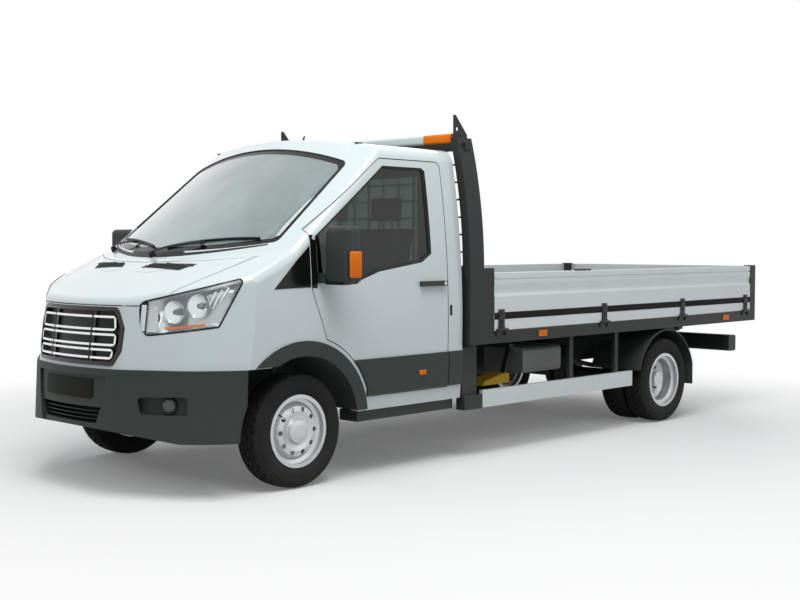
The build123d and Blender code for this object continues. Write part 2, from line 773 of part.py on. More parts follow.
with BuildPart() as tanks:
    add(slab(fx(-2820), fx(-2350), 420, 800, 500, 690))
    fillet(tanks.edges().filter_by(Axis.X), 30)
    with BuildPart(mode=Mode.PRIVATE) as fuel:
        add(slab(fx(-2950), fx(-1900), -810, -420, 360, 620))
        fillet(fuel.edges().filter_by(Axis.X), 50)
    add(fuel.part)

# Side guards, mudguards, underrun beam
with BuildPart() as guard_rails:
    for side in (1, -1):
        add(slab(fx(-3485), fx(-1632), 1002 * side - 15, 1002 * side + 15, 335, 455))
        for low in (362, 395, 428):
            y0 = 1019.5 * side
            add(slab(fx(-3486), fx(-1631), y0 - 3.5, y0 + 3.5, low - 3, low + 3), mode=Mode.SUBTRACT)

upright_table = [
    {"x0": -1600, "x1": -1445, "low": 430, "high": 765},
    {"x0": -2725, "x1": -2680, "low": 345, "high": 765},
    {"x0": -3325, "x1": -3280, "low": 345, "high": 765},
]
with BuildPart() as guard_uprights:
    for side in (1, -1):
        for row in upright_table:
            add(slab(fx(row["x0"]), fx(row["x1"]), 972 * side - 15, 972 * side + 15, row["low"], row["high"]))
            middle = fx((row["x0"] + row["x1"]) / 2)
            add(slab(middle - 22, middle + 22, 690 * side - 270, 690 * side + 270, 705, 755))
        add(slab(fx(-1630), fx(-1445), 975 * side - 38, 975 * side + 38, 332, 430))

with BuildPart() as mudguards:
    with BuildSketch(Plane.XZ.offset(-1046)):
        with BuildLine():
            a0 = math.radians(15)
            a1 = math.radians(165)
            r1 = 422
            r0 = 412
            CenterArc((rear_axle_x, tyre_r), r1, 15, 150)
            CenterArc((rear_axle_x, tyre_r), r0, 15, 150)
            Line(
                (rear_axle_x + r0 * math.cos(a0), tyre_r + r0 * math.sin(a0)),
                (rear_axle_x + r1 * math.cos(a0), tyre_r + r1 * math.sin(a0)))
            Line(
                (rear_axle_x + r0 * math.cos(a1), tyre_r + r0 * math.sin(a1)),
                (rear_axle_x + r1 * math.cos(a1), tyre_r + r1 * math.sin(a1)))
        make_face()
    extrude(amount=466)
    add(slab(rear_axle_x - 408, rear_axle_x - 397, 580, 1046, 280, 460))
    for x in (-200, 200):
        add(slab(rear_axle_x + x - 12, rear_axle_x + x + 12, 420, 640, 690, 712))
    mirror(about=Plane.XZ)

with BuildPart() as underrun:
    with Locations((fx(-5080), 0, 585)):
        Box(120, 2040, 140)
    fillet(underrun.edges().filter_by(Axis.Y), 20)

with BuildPart() as rear_lamps:
    for side in (1, -1):
        add(slab(fx(-5175), fx(-5140), 800 * side - 150, 800 * side + 150, 540, 630))

with BuildPart() as wheel_chock:
    add(side_prism(fx_points([(-2240, 440), (-1930, 440), (-1960, 470), (-2150, 510), (-2240, 510)]), 620, 760))
    add(side_prism(fx_points([(-2240, 470), (-2215, 470), (-2300, 700), (-2330, 700)]), 680, 720))
    add(slab(fx(-2335), fx(-2290), 420, 720, 690, 720))

# Bed
with BuildPart() as bed_floor:
    add(slab(bed_rear_x + 60, fx(-1640), -985, 985, floor_under_z, floor_z))

hinge_xs = [-1790, -3040, -4180, -5250]
side_pin_y = bed_half + 12
side_pin_z = floor_z + 5
hinge_pin_r = 4.0
with BuildPart() as bed_rails:
    for side in (1, -1):
        add(slab(rear_post_x, post_back_x, 1017.5 * side - 32.5, 1017.5 * side + 32.5, 776, floor_z))
        for x in hinge_xs:
            add(rod_x(side_pin_y * side, side_pin_z, hinge_pin_r, fx(x - 50), fx(x + 50)))
            for shift in (-47, 47):
                x0 = fx(x + shift) - 14
                add(rod_x(side_pin_y * side, side_pin_z, 9, x0, x0 + 28))
                add(slab(x0, x0 + 28, 1055 * side - 5.5, 1055 * side + 5.5, 830, side_pin_z - 3))

bearer_xs = [-1780, -2180, -2580, -2980, -3380, -3940, -4340, -4740, -5080]
tail_hinge_ys = [-760, 0, 760]
tail_pin_x = bed_rear_x - 12
with BuildPart() as bed_frame:
    for x in bearer_xs:
        add(slab(fx(x - 30), fx(x + 30), -985, 985, bearer_z, floor_under_z))
    for side in (1, -1):
        add(slab(tip_x - 180, fx(-1600), 385 * side - 30, 385 * side + 30, beam_low_z, bearer_z))
        for inset_y in (-51, 51):
            y0 = 385 * side + inset_y
            lug = [
                (tip_x - 32, 676), (tip_x + 32, 676), (tip_x + 60, beam_low_z + 20), (tip_x + 60, bearer_z + 5),
                (tip_x - 60, bearer_z + 5), (tip_x - 60, beam_low_z + 20)]
            add(side_prism(lug, y0 - 10, y0 + 10))
            add(slab(tip_x - 60, tip_x + 60, y0 - 22, y0 + 22, bearer_z - 30, bearer_z))
        add(rod_y(tip_x, tip_z, pin_r + 0.05, 385 * side - 80, 385 * side + 80), mode=Mode.SUBTRACT)
    add(slab(bed_rear_x, bed_rear_x + 60, -985, 985, 776, floor_z))
    add(slab(bed_rear_x + 50, tip_x - 150, -440, 440, bearer_z, floor_under_z))
    for y in tail_hinge_ys:
        add(rod_y(tail_pin_x, side_pin_z, hinge_pin_r, y - 50, y + 50))
        for shift in (-47, 47):
            y0 = y + shift - 14
            add(rod_y(tail_pin_x, side_pin_z, 9, y0, y0 + 28))
            add(slab(bed_rear_x - 10, bed_rear_x + 5, y0, y0 + 28, 830, side_pin_z - 3))
    # bracket for the ram's eye: two cheeks under a plate between the beams
    add(slab(ram_x - 60, ram_x + 60, -415, 415, 822, floor_under_z))
    for side in (1, -1):
        add(slab(ram_x - 60, ram_x + 60, 385 * side - 30, 385 * side + 30, bearer_z - 5, floor_under_z))
    for offset_y in (-45, 33):
        add(slab(ram_x - 40, ram_x + 40, ram_y + offset_y, ram_y + offset_y + 12, 748, 825))

with BuildPart() as rear_posts:
    for side in (1, -1):
        add(slab(bed_rear_x, rear_post_x, 1017.5 * side - 32.5, 1017.5 * side + 32.5, 776, 1276))

post_top_z = 2190.0
post_lean = 120.0
mesh_x = fx(-1530)
with BuildPart() as headboard:
    with BuildSketch(Plane.YZ.offset(fx(-1605))):
        with BuildLine():
            top = bed_half - post_lean
            bow = bed_half - post_lean * 0.27
            Line((bed_half, 776), (bed_half, 1270))
            ThreePointArc((bed_half, 1270), (bow, 1750), (top, post_top_z))
            Line((top, post_top_z), (top - 62, post_top_z))
            ThreePointArc((top - 62, post_top_z), (bow - 64, 1750), (bed_half - 66, 1270))
            Line((bed_half - 66, 1270), (bed_half - 66, 776))
            Line((bed_half - 66, 776), (bed_half, 776))
        make_face()
    extrude(amount=150)
    add(slab(post_back_x, fx(-1604), 985, bed_half, 776, 1300))
    mirror(about=Plane.XZ)
    add(slab(fx(-1640), fx(-1600), -1000, 1000, floor_under_z - 40, 1290))
    for z in (1290, 2130):
        add(slab(mesh_x - 25, mesh_x + 25, -960, 960, z - 25, z + 25))
    add(slab(fx(-1602), mesh_x, -984, 984, 1255, 1290))
    for row in range(1, 7):
        z = 1290 + row * 120
        add(slab(mesh_x - 6, mesh_x + 6, -940, 940, z - 6, z + 6))
    for column in range(-5, 6):
        y = column * 152
        add(slab(mesh_x - 6, mesh_x + 6, y - 6, y + 6, 1300, 2120))

with BuildPart() as headboard_ears:
    for side in (1, -1):
        y0 = (bed_half - post_lean - 31) * side
        add(side_prism(fx_points([
            (-1590, post_top_z), (-1456, post_top_z), (-1456, 2344), (-1474, 2344), (-1590, 2215)]), y0 - 5, y0 + 5))
        add(rod_y(fx(-1490), 2250, 14, y0 - 20, y0 + 20), mode=Mode.SUBTRACT)

marker_xs = [-2260, -4900]
with BuildPart() as amber_lamps:
    add(slab(fx(-1565), fx(-1495), -840, 840, 2155, 2226))
    fillet(amber_lamps.edges().filter_by(Axis.Y), 20)
    for side in (1, -1):
        for x in marker_xs:
            add(slab(fx(x - 45), fx(x + 45), 1055 * side - 5, 1055 * side + 5, 800, 845))

# Dropsides and tailgate
panel_low = floor_z + 9
strip_low = 940.0
strip_high = 990.0
plank_rows = [
    # height, distance in from the outer face
    (panel_low, 0), (strip_low, 0), (strip_low, 5), (strip_high, 5), (strip_high, 0), (1100, 0), (1122, 9),
    (1140, 9), (1188, 2), (1214, 2), (1217, 7), (1223, 7), (1226, 2), (side_top_z - 6, 2), (side_top_z, 6)]
with BuildPart() as dropside_left:
    plank_points = [(bed_half - inset, z) for z, inset in plank_rows]
    back_points = [(bed_half - side_t, side_top_z), (bed_half - side_t, panel_low)]
    add(front_prism(plank_points + back_points, rear_post_x + 4, post_back_x - 5))
    for x in hinge_xs:
        x0 = fx(x) - 30
        add(slab(x0, x0 + 60, bed_half - 6, bed_half + 7, panel_low, 1010))
        add(rod_x(side_pin_y, side_pin_z, 9, x0, x0 + 60))
        add(slab(x0, x0 + 60, bed_half - 2, side_pin_y, panel_low - 2, panel_low + 12))
        add(rod_x(side_pin_y, side_pin_z, hinge_pin_r + 0.05, x0 - 1, x0 + 61), mode=Mode.SUBTRACT)

with BuildPart() as dropside_right:
    add(mirrored(dropside_left.part))

with BuildPart() as tailgate:
    plank_points = [(bed_rear_x + inset, z) for z, inset in plank_rows]
    back_points = [(bed_rear_x + side_t, side_top_z), (bed_rear_x + side_t, panel_low)]
    add(side_prism(plank_points + back_points, -979, 979))
    for y in tail_hinge_ys:
        add(slab(bed_rear_x - 7, bed_rear_x + 6, y - 30, y + 30, panel_low, 1010))
        add(rod_y(tail_pin_x, side_pin_z, 9, y - 30, y + 30))
        add(slab(tail_pin_x, bed_rear_x + 2, y - 30, y + 30, panel_low - 2, panel_low + 12))
        add(rod_y(tail_pin_x, side_pin_z, hinge_pin_r + 0.05, y - 31, y + 31), mode=Mode.SUBTRACT)

# Telescopic ram
def ram_tube(outside, bore, low, high, floor):
    """Upright tube, closed at its foot when floor is above zero."""
    with BuildPart() as made:
        with BuildSketch(Plane.XY.offset(low)):
            with Locations((ram_x, ram_y)):
                Circle(outside)
        extrude(amount=high - low)
        if bore:
            with BuildSketch(Plane.XY.offset(low + floor)):
                with Locations((ram_x, ram_y)):
                    Circle(bore)
            extrude(amount=high - low - floor, mode=Mode.SUBTRACT)
    return made.part


with BuildPart() as ram_barrel:
    add(ram_tube(68, 55.05, 250, 695, 10))
    add(rod_y(ram_x, ram_base_z, 16, ram_y + 64, ram_y + 104))
    add(rod_y(ram_x, ram_base_z, 16, ram_y - 104, ram_y - 64))

with BuildPart() as ram_stage_outer:
    add(ram_tube(55, 43.05, 262, 705, 8))

with BuildPart() as ram_stage_inner:
    add(ram_tube(43, 31.05, 272, 715, 8))

with BuildPart() as ram_rod:
    add(ram_tube(31, 0, 282, 760, 0))
    add(rod_y(ram_x, ram_eye_z, 26, ram_y - 28, ram_y + 28))

assembly = {
    "chassis_rails": chassis_rails, "cross_members": cross_members, "subframe_rails": subframe_rails,
    "front_beam": front_beam, "rear_axle": rear_axle, "engine": engine, "driveline": driveline, "tanks": tanks,
    "cab_roof": cab_roof, "cab_rear_panel": cab_rear_panel, "cab_side_left": cab_side_left,
    "cab_side_right": cab_side_right, "cab_floor": cab_floor, "nose": nose, "arch_liners": arch_liners,
    "front_bumper": front_bumper, "grille": grille, "headlamps": headlamps, "cab_glass": cab_glass,
    "body_trim": body_trim, "dashboard": dashboard, "seats": seats, "guard_rails": guard_rails,
    "guard_uprights": guard_uprights, "mudguards": mudguards, "underrun": underrun, "rear_lamps": rear_lamps,
    "wheel_chock": wheel_chock, "knuckle_left": knuckle_left, "knuckle_right": knuckle_right,
    "rim_front_left": rim_front_left, "rim_front_right": rim_front_right, "rims_rear_left": rims_rear_left,
    "rims_rear_right": rims_rear_right, "tyre_front_left": tyre_front_left,
    "tyre_front_right": tyre_front_right, "tyres_rear_left": tyres_rear_left,
    "tyres_rear_right": tyres_rear_right, "bonnet": bonnet, "door_left": door_left,
    "door_glass_left": door_glass_left, "door_trim_left": door_trim_left, "door_right": door_right,
    "door_glass_right": door_glass_right, "door_trim_right": door_trim_right, "bed_floor": bed_floor,
    "bed_rails": bed_rails, "bed_frame": bed_frame, "rear_posts": rear_posts, "headboard": headboard,
    "headboard_ears": headboard_ears, "amber_lamps": amber_lamps, "dropside_left": dropside_left,
    "dropside_right": dropside_right, "tailgate": tailgate, "ram_barrel": ram_barrel,
    "ram_stage_outer": ram_stage_outer, "ram_stage_inner": ram_stage_inner, "ram_rod": ram_rod,
}
for label, piece in assembly.items():
    piece.part.label = label
    export_step(piece.part, f"parts/{label}.step")
    print(label, len(piece.part.solids()), round(piece.part.volume / 1e6, 2), piece.part.is_valid)
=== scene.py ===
# %% [markdown]
# # Dressing a dropside tipper truck
# The solid parts of this truck come ready made as a frame: cab panels, wheels, bed, ram and chassis, each
# riding on the body that moves it. In this lesson the frame gets its finishes, and the small pieces that
# make it look real are modelled around it: tyre tread, lamps, wipers, seals, nuts and seats.

# %% Load the frame
import json
import math

import bmesh
import bpy
from mathutils import Matrix, Vector
from mathutils.bvhtree import BVHTree


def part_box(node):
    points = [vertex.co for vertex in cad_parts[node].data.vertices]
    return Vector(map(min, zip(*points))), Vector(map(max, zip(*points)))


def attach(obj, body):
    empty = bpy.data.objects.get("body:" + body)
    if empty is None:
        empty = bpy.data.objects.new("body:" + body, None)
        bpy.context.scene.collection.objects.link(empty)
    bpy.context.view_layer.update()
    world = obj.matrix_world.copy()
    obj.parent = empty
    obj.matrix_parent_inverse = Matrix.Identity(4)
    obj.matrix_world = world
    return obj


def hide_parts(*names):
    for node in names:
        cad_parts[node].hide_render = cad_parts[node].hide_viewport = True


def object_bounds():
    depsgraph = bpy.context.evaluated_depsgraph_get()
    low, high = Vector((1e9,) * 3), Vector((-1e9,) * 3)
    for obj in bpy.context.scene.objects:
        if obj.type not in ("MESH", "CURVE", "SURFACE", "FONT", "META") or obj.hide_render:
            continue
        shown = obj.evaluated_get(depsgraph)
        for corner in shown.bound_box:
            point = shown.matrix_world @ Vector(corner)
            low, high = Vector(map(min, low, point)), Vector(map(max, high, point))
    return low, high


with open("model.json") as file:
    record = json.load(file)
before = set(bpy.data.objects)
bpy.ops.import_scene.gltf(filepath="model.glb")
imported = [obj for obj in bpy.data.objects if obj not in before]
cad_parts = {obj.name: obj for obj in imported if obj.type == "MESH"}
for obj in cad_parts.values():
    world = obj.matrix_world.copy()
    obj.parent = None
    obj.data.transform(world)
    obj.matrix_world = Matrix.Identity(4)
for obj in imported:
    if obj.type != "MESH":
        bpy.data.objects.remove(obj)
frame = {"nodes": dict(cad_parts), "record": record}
cad_low, cad_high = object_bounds()
scene = bpy.context.scene
scene.view_settings.view_transform = "Standard"

tyre_low, tyre_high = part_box("tyre_front_left")
axle_x = (tyre_low.x + tyre_high.x) / 2
tyre_radius = (tyre_high.z - tyre_low.z) / 2
print("frame of", len(frame["nodes"]), "nodes, front axle at x", round(axle_x, 4))


# %% [markdown]
# ## Where things are
# Along the truck, places are easiest to think of as distances ahead of the front axle. To seat a small
# piece on a curved panel, a ray is cast at the panel and the piece is put where the ray lands. That is
# better than typing a height by eye, because the piece then sits on the panel from every side.

# %% Places on the truck
def ahead(distance):
    """World x of a place that many metres in front of the front axle."""
    return axle_x + distance


panel_trees = {}


def panel_tree(node):
    """A search tree of a node's faces, made at its first use."""
    if node not in panel_trees:
        bm = bmesh.new()
        bm.from_mesh(frame["nodes"][node].data)
        panel_trees[node] = BVHTree.FromBMesh(bm)
        bm.free()
    return panel_trees[node]


def on_panel(node, start, direction):
    """Where a ray from start meets a node's surface, with the surface's normal."""
    place, normal, _, _ = panel_tree(node).ray_cast(Vector(start), Vector(direction))
    if place is None:
        raise ValueError(f"no {node} on the ray from {start}")
    return place, normal


def lay_on(verts, node, direction, lift):
    """Moves vertices along a direction until they lie on a node, then lifts them off it."""
    way = Vector(direction).normalized()
    for vert in verts:
        place, _, _, _ = panel_tree(node).ray_cast(vert.co - way * 2, way)
        if place is not None:
            vert.co = place - way * lift


bonnet_top = on_panel("bonnet", (ahead(0.6), 0, 3), (0, 0, -1))[0]
print("bonnet height on the middle line:", round(bonnet_top.z, 3))


# %% [markdown]
# ## Camera
# The photograph was taken at standing height from the front left corner. A camera is a place, a direction
# and a lens, so it is set from those three and not by dragging it until the picture fits.

# %% Camera
camera_place = Vector((ahead(4.794), 6.427, 1.459))
camera_yaw = math.radians(-136.0)
camera_pitch = math.radians(-2.59)
look = Vector((
    math.cos(camera_pitch) * math.cos(camera_yaw),
    math.cos(camera_pitch) * math.sin(camera_yaw),
    math.sin(camera_pitch)))
camera = bpy.data.objects.new("camera", bpy.data.cameras.new("camera"))
scene.collection.objects.link(camera)
camera.location = camera_place
camera.rotation_mode = "QUATERNION"
camera.rotation_quaternion = look.to_track_quat("-Z", "Y")
camera.data.sensor_width = 36.0
camera.data.lens = 54.8
camera.data.clip_end = 200.0
scene.camera = camera
print("camera at", [round(v, 3) for v in camera_place])


# %% [markdown]
# ## Wiring nodes
# Sky, floor and finishes are all made of shader nodes. A handful of small functions place a node and wire
# it in one go, so the cells below read as a list of what is mixed with what. One of them tells the rays
# that are seen, straight or by way of glass and mirrors, from the rays that only carry light.

# %% Node helpers
def wire(tree, value, socket):
    """Links a socket to another one, or sets it to a plain value."""
    if isinstance(value, bpy.types.NodeSocket):
        tree.links.new(value, socket)
    else:
        socket.default_value = value


def math_node(tree, operation, first, second=0.0, clamp=False):
    """A maths node; each side is a socket or a number."""
    node = tree.nodes.new("ShaderNodeMath")
    node.operation = operation
    node.use_clamp = clamp
    wire(tree, first, node.inputs[0])
    wire(tree, second, node.inputs[1])
    return node.outputs[0]


def vector_node(tree, operation, first, second=(0, 0, 0)):
    """The outputs of a vector maths node; each side is a socket or a vector."""
    node = tree.nodes.new("ShaderNodeVectorMath")
    node.operation = operation
    wire(tree, first, node.inputs[0])
    wire(tree, second, node.inputs[1])
    return node.outputs


def map_range(tree, value, **limits):
    """A value carried over from one range to another."""
    node = tree.nodes.new("ShaderNodeMapRange")
    for label, limit in limits.items():
        node.inputs[label.replace("_", " ").title()].default_value = limit
    tree.links.new(value, node.inputs["Value"])
    return node.outputs[0]


def mix_shaders(tree, share, first, second):
    """Two shaders mixed: all first at share 0, all second at share 1."""
    node = tree.nodes.new("ShaderNodeMixShader")
    for socket, value in zip(node.inputs, (share, first, second)):
        tree.links.new(value, socket)
    return node.outputs[0]


def seen_rays(tree):
    """1 for rays from the camera, off mirrors and through glass; 0 for rays that only carry light."""
    ray = tree.nodes.new("ShaderNodeLightPath")
    mirrored = math_node(tree, "MAXIMUM", ray.outputs["Is Glossy Ray"], ray.outputs["Is Transmission Ray"])
    return math_node(tree, "MAXIMUM", ray.outputs["Is Camera Ray"], mirrored)


def object_axes(tree):
    """The place on the piece itself, as X, Y and Z sockets."""
    coords = tree.nodes.new("ShaderNodeTexCoord")
    split = tree.nodes.new("ShaderNodeSeparateXYZ")
    tree.links.new(coords.outputs["Object"], split.inputs[0])
    return split.outputs


print("node helpers ready")


# %% [markdown]
# ## Light and floor
# A white truck needs soft light from large lamps, because small ones would leave hard spots on the paint.
# One big area lamp hangs above the bonnet, two weaker ones stand at the left and behind, and the sky fills
# the rest. The background and the floor are white to the camera and to reflections, while they light the
# truck only weakly, so the sides come out darker than the bonnet and pale panels keep their shape.

# %% World
light_sky = ((0.92, 0.97, 1.0, 1), 0.22)
seen_sky = ((1, 1, 1, 1), 1.0)
world = bpy.data.worlds.new("studio")
scene.world = world
world.use_nodes = True
sky = world.node_tree
sky.nodes.clear()
skies = []
for colour, strength in (light_sky, seen_sky):
    background = sky.nodes.new("ShaderNodeBackground")
    background.inputs["Color"].default_value = colour
    background.inputs["Strength"].default_value = strength
    skies.append(background.outputs[0])
world_out = sky.nodes.new("ShaderNodeOutputWorld")
sky.links.new(mix_shaders(sky, seen_rays(sky), *skies), world_out.inputs["Surface"])
print("world:", len(sky.nodes), "nodes")


# %% Lamps
def soft_lamp(name, place, target, size, watts):
    """A square area lamp aimed at a target."""
    data = bpy.data.lights.new(name, "AREA")
    data.size = size
    data.energy = watts
    lamp = bpy.data.objects.new(name, data)
    scene.collection.objects.link(lamp)
    lamp.location = place
    lamp.rotation_mode = "QUATERNION"
    lamp.rotation_quaternion = (Vector(target) - Vector(place)).to_track_quat("-Z", "Y")


soft_lamp("key_lamp", (3.8, 3.2, 8.6), (0.5, 0, 0.9), 6.0, 620)
soft_lamp("side_lamp", (-2.5, 8.0, 5.0), (-0.8, 0, 0.8), 5.0, 60)
soft_lamp("back_lamp", (-8.0, -5.0, 6.5), (0, 0, 1.0), 6.0, 260)


# %% Floor
floor_bm = bmesh.new()
bmesh.ops.create_grid(floor_bm, x_segments=1, y_segments=1, size=60.0)
floor_mesh = bpy.data.meshes.new("floor")
floor_bm.to_mesh(floor_mesh)
floor_bm.free()
floor = bpy.data.objects.new("floor", floor_mesh)
scene.collection.objects.link(floor)
floor.location = (0, 0, cad_low.z - 0.001)
floor_finish = bpy.data.materials.new("studio_floor")
floor_finish.use_nodes = True
floor_tree = floor_finish.node_tree
floor_shader = floor_tree.nodes["Principled BSDF"]
floor_shader.inputs["Roughness"].default_value = 0.9
floor_shader.inputs["Specular IOR Level"].default_value = 0.1
floor_seen = seen_rays(floor_tree)
floor_tone = map_range(floor_tree, floor_seen, to_min=0.4, to_max=0.93)
floor_tree.links.new(floor_tone, floor_shader.inputs["Base Color"])
floor_place = floor_tree.nodes.new("ShaderNodeTexCoord")
floor_reach = vector_node(floor_tree, "LENGTH", floor_place.outputs["Object"])["Value"]
floor_fade = map_range(floor_tree, floor_reach, from_min=2.4, from_max=5.6, to_min=0.12)
floor_share = math_node(floor_tree, "MULTIPLY", floor_fade, floor_seen)
floor_white = floor_tree.nodes.new("ShaderNodeEmission")
floor_look = mix_shaders(floor_tree, floor_share, floor_shader.outputs[0], floor_white.outputs[0])
floor_tree.links.new(floor_look, floor_tree.nodes["Material Output"].inputs["Surface"])
floor_mesh.materials.append(floor_finish)
print("floor at z", round(floor.location.z, 4))


# %% [markdown]
# ## Shared effects
# Real finishes are never one flat colour. Three small node groups are used over and over: a fine grain, a
# film of road dust that thickens towards the ground, and long drawn lines as on rolled alloy. Each group
# puts out plain values, and every material mixes them in with its own numbers, so one change here reaches
# all of them.

# %% Node group helpers
def open_group(name, numbers, results):
    """A node group with number inputs and value outputs, ready to be wired."""
    tree = bpy.data.node_groups.new(name, "ShaderNodeTree")
    for label, value in numbers.items():
        socket = tree.interface.new_socket(label, in_out="INPUT", socket_type="NodeSocketFloat")
        socket.default_value = value
    for label in results:
        tree.interface.new_socket(label, in_out="OUTPUT", socket_type="NodeSocketFloat")
    return tree, tree.nodes.new("NodeGroupInput"), tree.nodes.new("NodeGroupOutput")


def object_noise(tree, scale, detail, stretch=(1, 1, 1)):
    """Noise fixed to the piece itself, stretched along its axes."""
    coords = tree.nodes.new("ShaderNodeTexCoord")
    place = tree.nodes.new("ShaderNodeMapping")
    place.inputs["Scale"].default_value = stretch
    noise = tree.nodes.new("ShaderNodeTexNoise")
    noise.inputs["Detail"].default_value = detail
    tree.links.new(coords.outputs["Object"], place.inputs["Vector"])
    tree.links.new(place.outputs[0], noise.inputs["Vector"])
    wire(tree, scale, noise.inputs["Scale"])
    return noise.outputs["Fac"]


print("group helpers ready")


# %% Grain, dust and drawn lines
grain_group, grain_in, grain_out = open_group("surface_grain", {"Scale": 400.0}, ["Height", "Patches"])
wire(grain_group, object_noise(grain_group, grain_in.outputs["Scale"], 2.0), grain_out.inputs["Height"])
wire(grain_group, object_noise(grain_group, 3.0, 4.0), grain_out.inputs["Patches"])

dust_group, dust_in, dust_out = open_group("road_dust", {"Top": 0.9, "Amount": 0.5}, ["Mask"])
fall = math_node(dust_group, "DIVIDE", object_axes(dust_group)["Z"], dust_in.outputs["Top"])
rise = math_node(dust_group, "SUBTRACT", 1.0, fall, clamp=True)
patchy = math_node(dust_group, "MULTIPLY", rise, object_noise(dust_group, 9.0, 6.0))
dusty = math_node(dust_group, "MULTIPLY", patchy, dust_in.outputs["Amount"], clamp=True)
wire(dust_group, dusty, dust_out.inputs["Mask"])

drawn_group, drawn_in, drawn_out = open_group("drawn_lines", {"Scale": 60.0}, ["Height"])
lengthwise = (0.02, 1, 1)
drawn_noise = object_noise(drawn_group, drawn_in.outputs["Scale"], 3.0, lengthwise)
wire(drawn_group, drawn_noise, drawn_out.inputs["Height"])
print("groups:", [g.name for g in bpy.data.node_groups])


# %% [markdown]
# ## Finishes
# Each finish is a Principled shader fed by those groups. The settings that are the same all over a surface,
# such as the clear coat on paint, are typed on the shader, and only what changes over the surface is wired.

# %% The finish builder
dust_colour, dust_rough = (0.36, 0.34, 0.31, 1), 0.4
rough_drift = 0.12
relief_depth = 0.001


def tint_by(tree, mask, first, second):
    """Colour that goes from first to second as mask goes from 0 to 1."""
    mix = tree.nodes.new("ShaderNodeMix")
    mix.data_type = "RGBA"
    tree.links.new(mask, mix.inputs["Factor"])
    wire(tree, first, mix.inputs[6])
    wire(tree, second, mix.inputs[7])
    return mix.outputs[2]


def place_group(tree, group, **numbers):
    """A group placed in a material with its own values."""
    node = tree.nodes.new("ShaderNodeGroup")
    node.node_tree = group
    for label, value in numbers.items():
        node.inputs[label].default_value = value
    return node


def make_finish(
        name, colour, patch, roughness, grain=400.0, bump=0.1, dust=0.0, dust_top=0.9, lines=0.0, **fixed):
    """Principled finish: colour drifting towards patch, rough by the grain, dusty low down."""
    finish = bpy.data.materials.new(name)
    finish.use_nodes = True
    tree = finish.node_tree
    shader = tree.nodes["Principled BSDF"]
    for label, value in fixed.items():
        shader.inputs[label.replace("_", " ").title().replace("Ior", "IOR")].default_value = value
    grains = place_group(tree, grain_group, Scale=grain)
    base = tint_by(tree, grains.outputs["Patches"], (*colour, 1), (*patch, 1))
    drift = math_node(tree, "MULTIPLY", grains.outputs["Patches"], rough_drift)
    rough = math_node(tree, "ADD", drift, roughness - rough_drift / 2, clamp=True)
    if dust:
        film = place_group(tree, dust_group, Top=dust_top, Amount=dust)
        base = tint_by(tree, film.outputs["Mask"], base, dust_colour)
        matt = math_node(tree, "MULTIPLY", film.outputs["Mask"], dust_rough)
        rough = math_node(tree, "ADD", rough, matt, clamp=True)
    height = grains.outputs["Height"]
    if lines:
        drawn = place_group(tree, drawn_group, Scale=lines)
        height = math_node(tree, "ADD", height, drawn.outputs["Height"])
    relief = tree.nodes.new("ShaderNodeBump")
    relief.inputs["Strength"].default_value = bump
    relief.inputs["Distance"].default_value = relief_depth
    tree.links.new(height, relief.inputs["Height"])
    tree.links.new(relief.outputs[0], shader.inputs["Normal"])
    tree.links.new(base, shader.inputs["Base Color"])
    tree.links.new(rough, shader.inputs["Roughness"])
    return finish


print("finish builder ready")


# %% Paints, plastics and metals
paint_white = make_finish(
    "paint_white", (0.74, 0.83, 0.845), (0.70, 0.80, 0.82), 0.32, grain=900, bump=0.02,
    dust=0.25, dust_top=0.75, coat_weight=1.0, coat_roughness=0.03)
plastic_dark = make_finish(
    "plastic_dark", (0.036, 0.045, 0.043), (0.044, 0.053, 0.05), 0.55, grain=1500, bump=0.35,
    dust=0.12, dust_top=0.7, specular_ior_level=0.3)
plastic_black = make_finish(
    "plastic_black", (0.01, 0.012, 0.012), (0.015, 0.016, 0.016), 0.42, grain=1200, bump=0.2,
    specular_ior_level=0.22)
paint_black = make_finish(
    "paint_black", (0.016, 0.021, 0.02), (0.023, 0.028, 0.027), 0.45, grain=500, bump=0.15,
    dust=0.2, dust_top=0.8, specular_ior_level=0.28)
rubber_black = make_finish(
    "rubber_black", (0.012, 0.012, 0.012), (0.019, 0.019, 0.019), 0.8, grain=700, bump=0.3,
    dust=0.1, dust_top=0.7, specular_ior_level=0.2)
rim_silver = make_finish(
    "rim_silver", (0.66, 0.675, 0.69), (0.6, 0.615, 0.63), 0.33, grain=700, bump=0.05,
    dust=0.3, dust_top=0.7, metallic=0.75)
alloy_pale = make_finish(
    "alloy_pale", (0.70, 0.755, 0.765), (0.63, 0.69, 0.70), 0.36, grain=500, bump=0.06,
    lines=80, metallic=0.35)
alloy_floor = make_finish(
    "alloy_floor", (0.34, 0.35, 0.355), (0.24, 0.245, 0.25), 0.5, grain=300, bump=0.25,
    lines=40, metallic=0.6)
chrome_bright = make_finish(
    "chrome_bright", (0.83, 0.845, 0.85), (0.78, 0.8, 0.81), 0.1, grain=600, bump=0.01,
    metallic=1.0)
steel_ground = make_finish(
    "steel_ground", (0.6, 0.61, 0.62), (0.5, 0.51, 0.52), 0.28, grain=900, bump=0.05,
    metallic=1.0)
iron_cast = make_finish(
    "iron_cast", (0.15, 0.145, 0.14), (0.1, 0.095, 0.09), 0.65, grain=220, bump=0.5,
    metallic=0.4)
tank_grey = make_finish(
    "tank_grey", (0.3, 0.31, 0.31), (0.24, 0.25, 0.25), 0.45, grain=400, bump=0.1,
    dust=0.5, dust_top=0.9)
chock_yellow = make_finish(
    "chock_yellow", (0.85, 0.55, 0.03), (0.76, 0.47, 0.02), 0.5, grain=500, bump=0.2,
    dust=0.12, dust_top=0.8)
cabin_grey = make_finish(
    "cabin_grey", (0.05, 0.053, 0.055), (0.07, 0.072, 0.074), 0.6, grain=1100, bump=0.4)
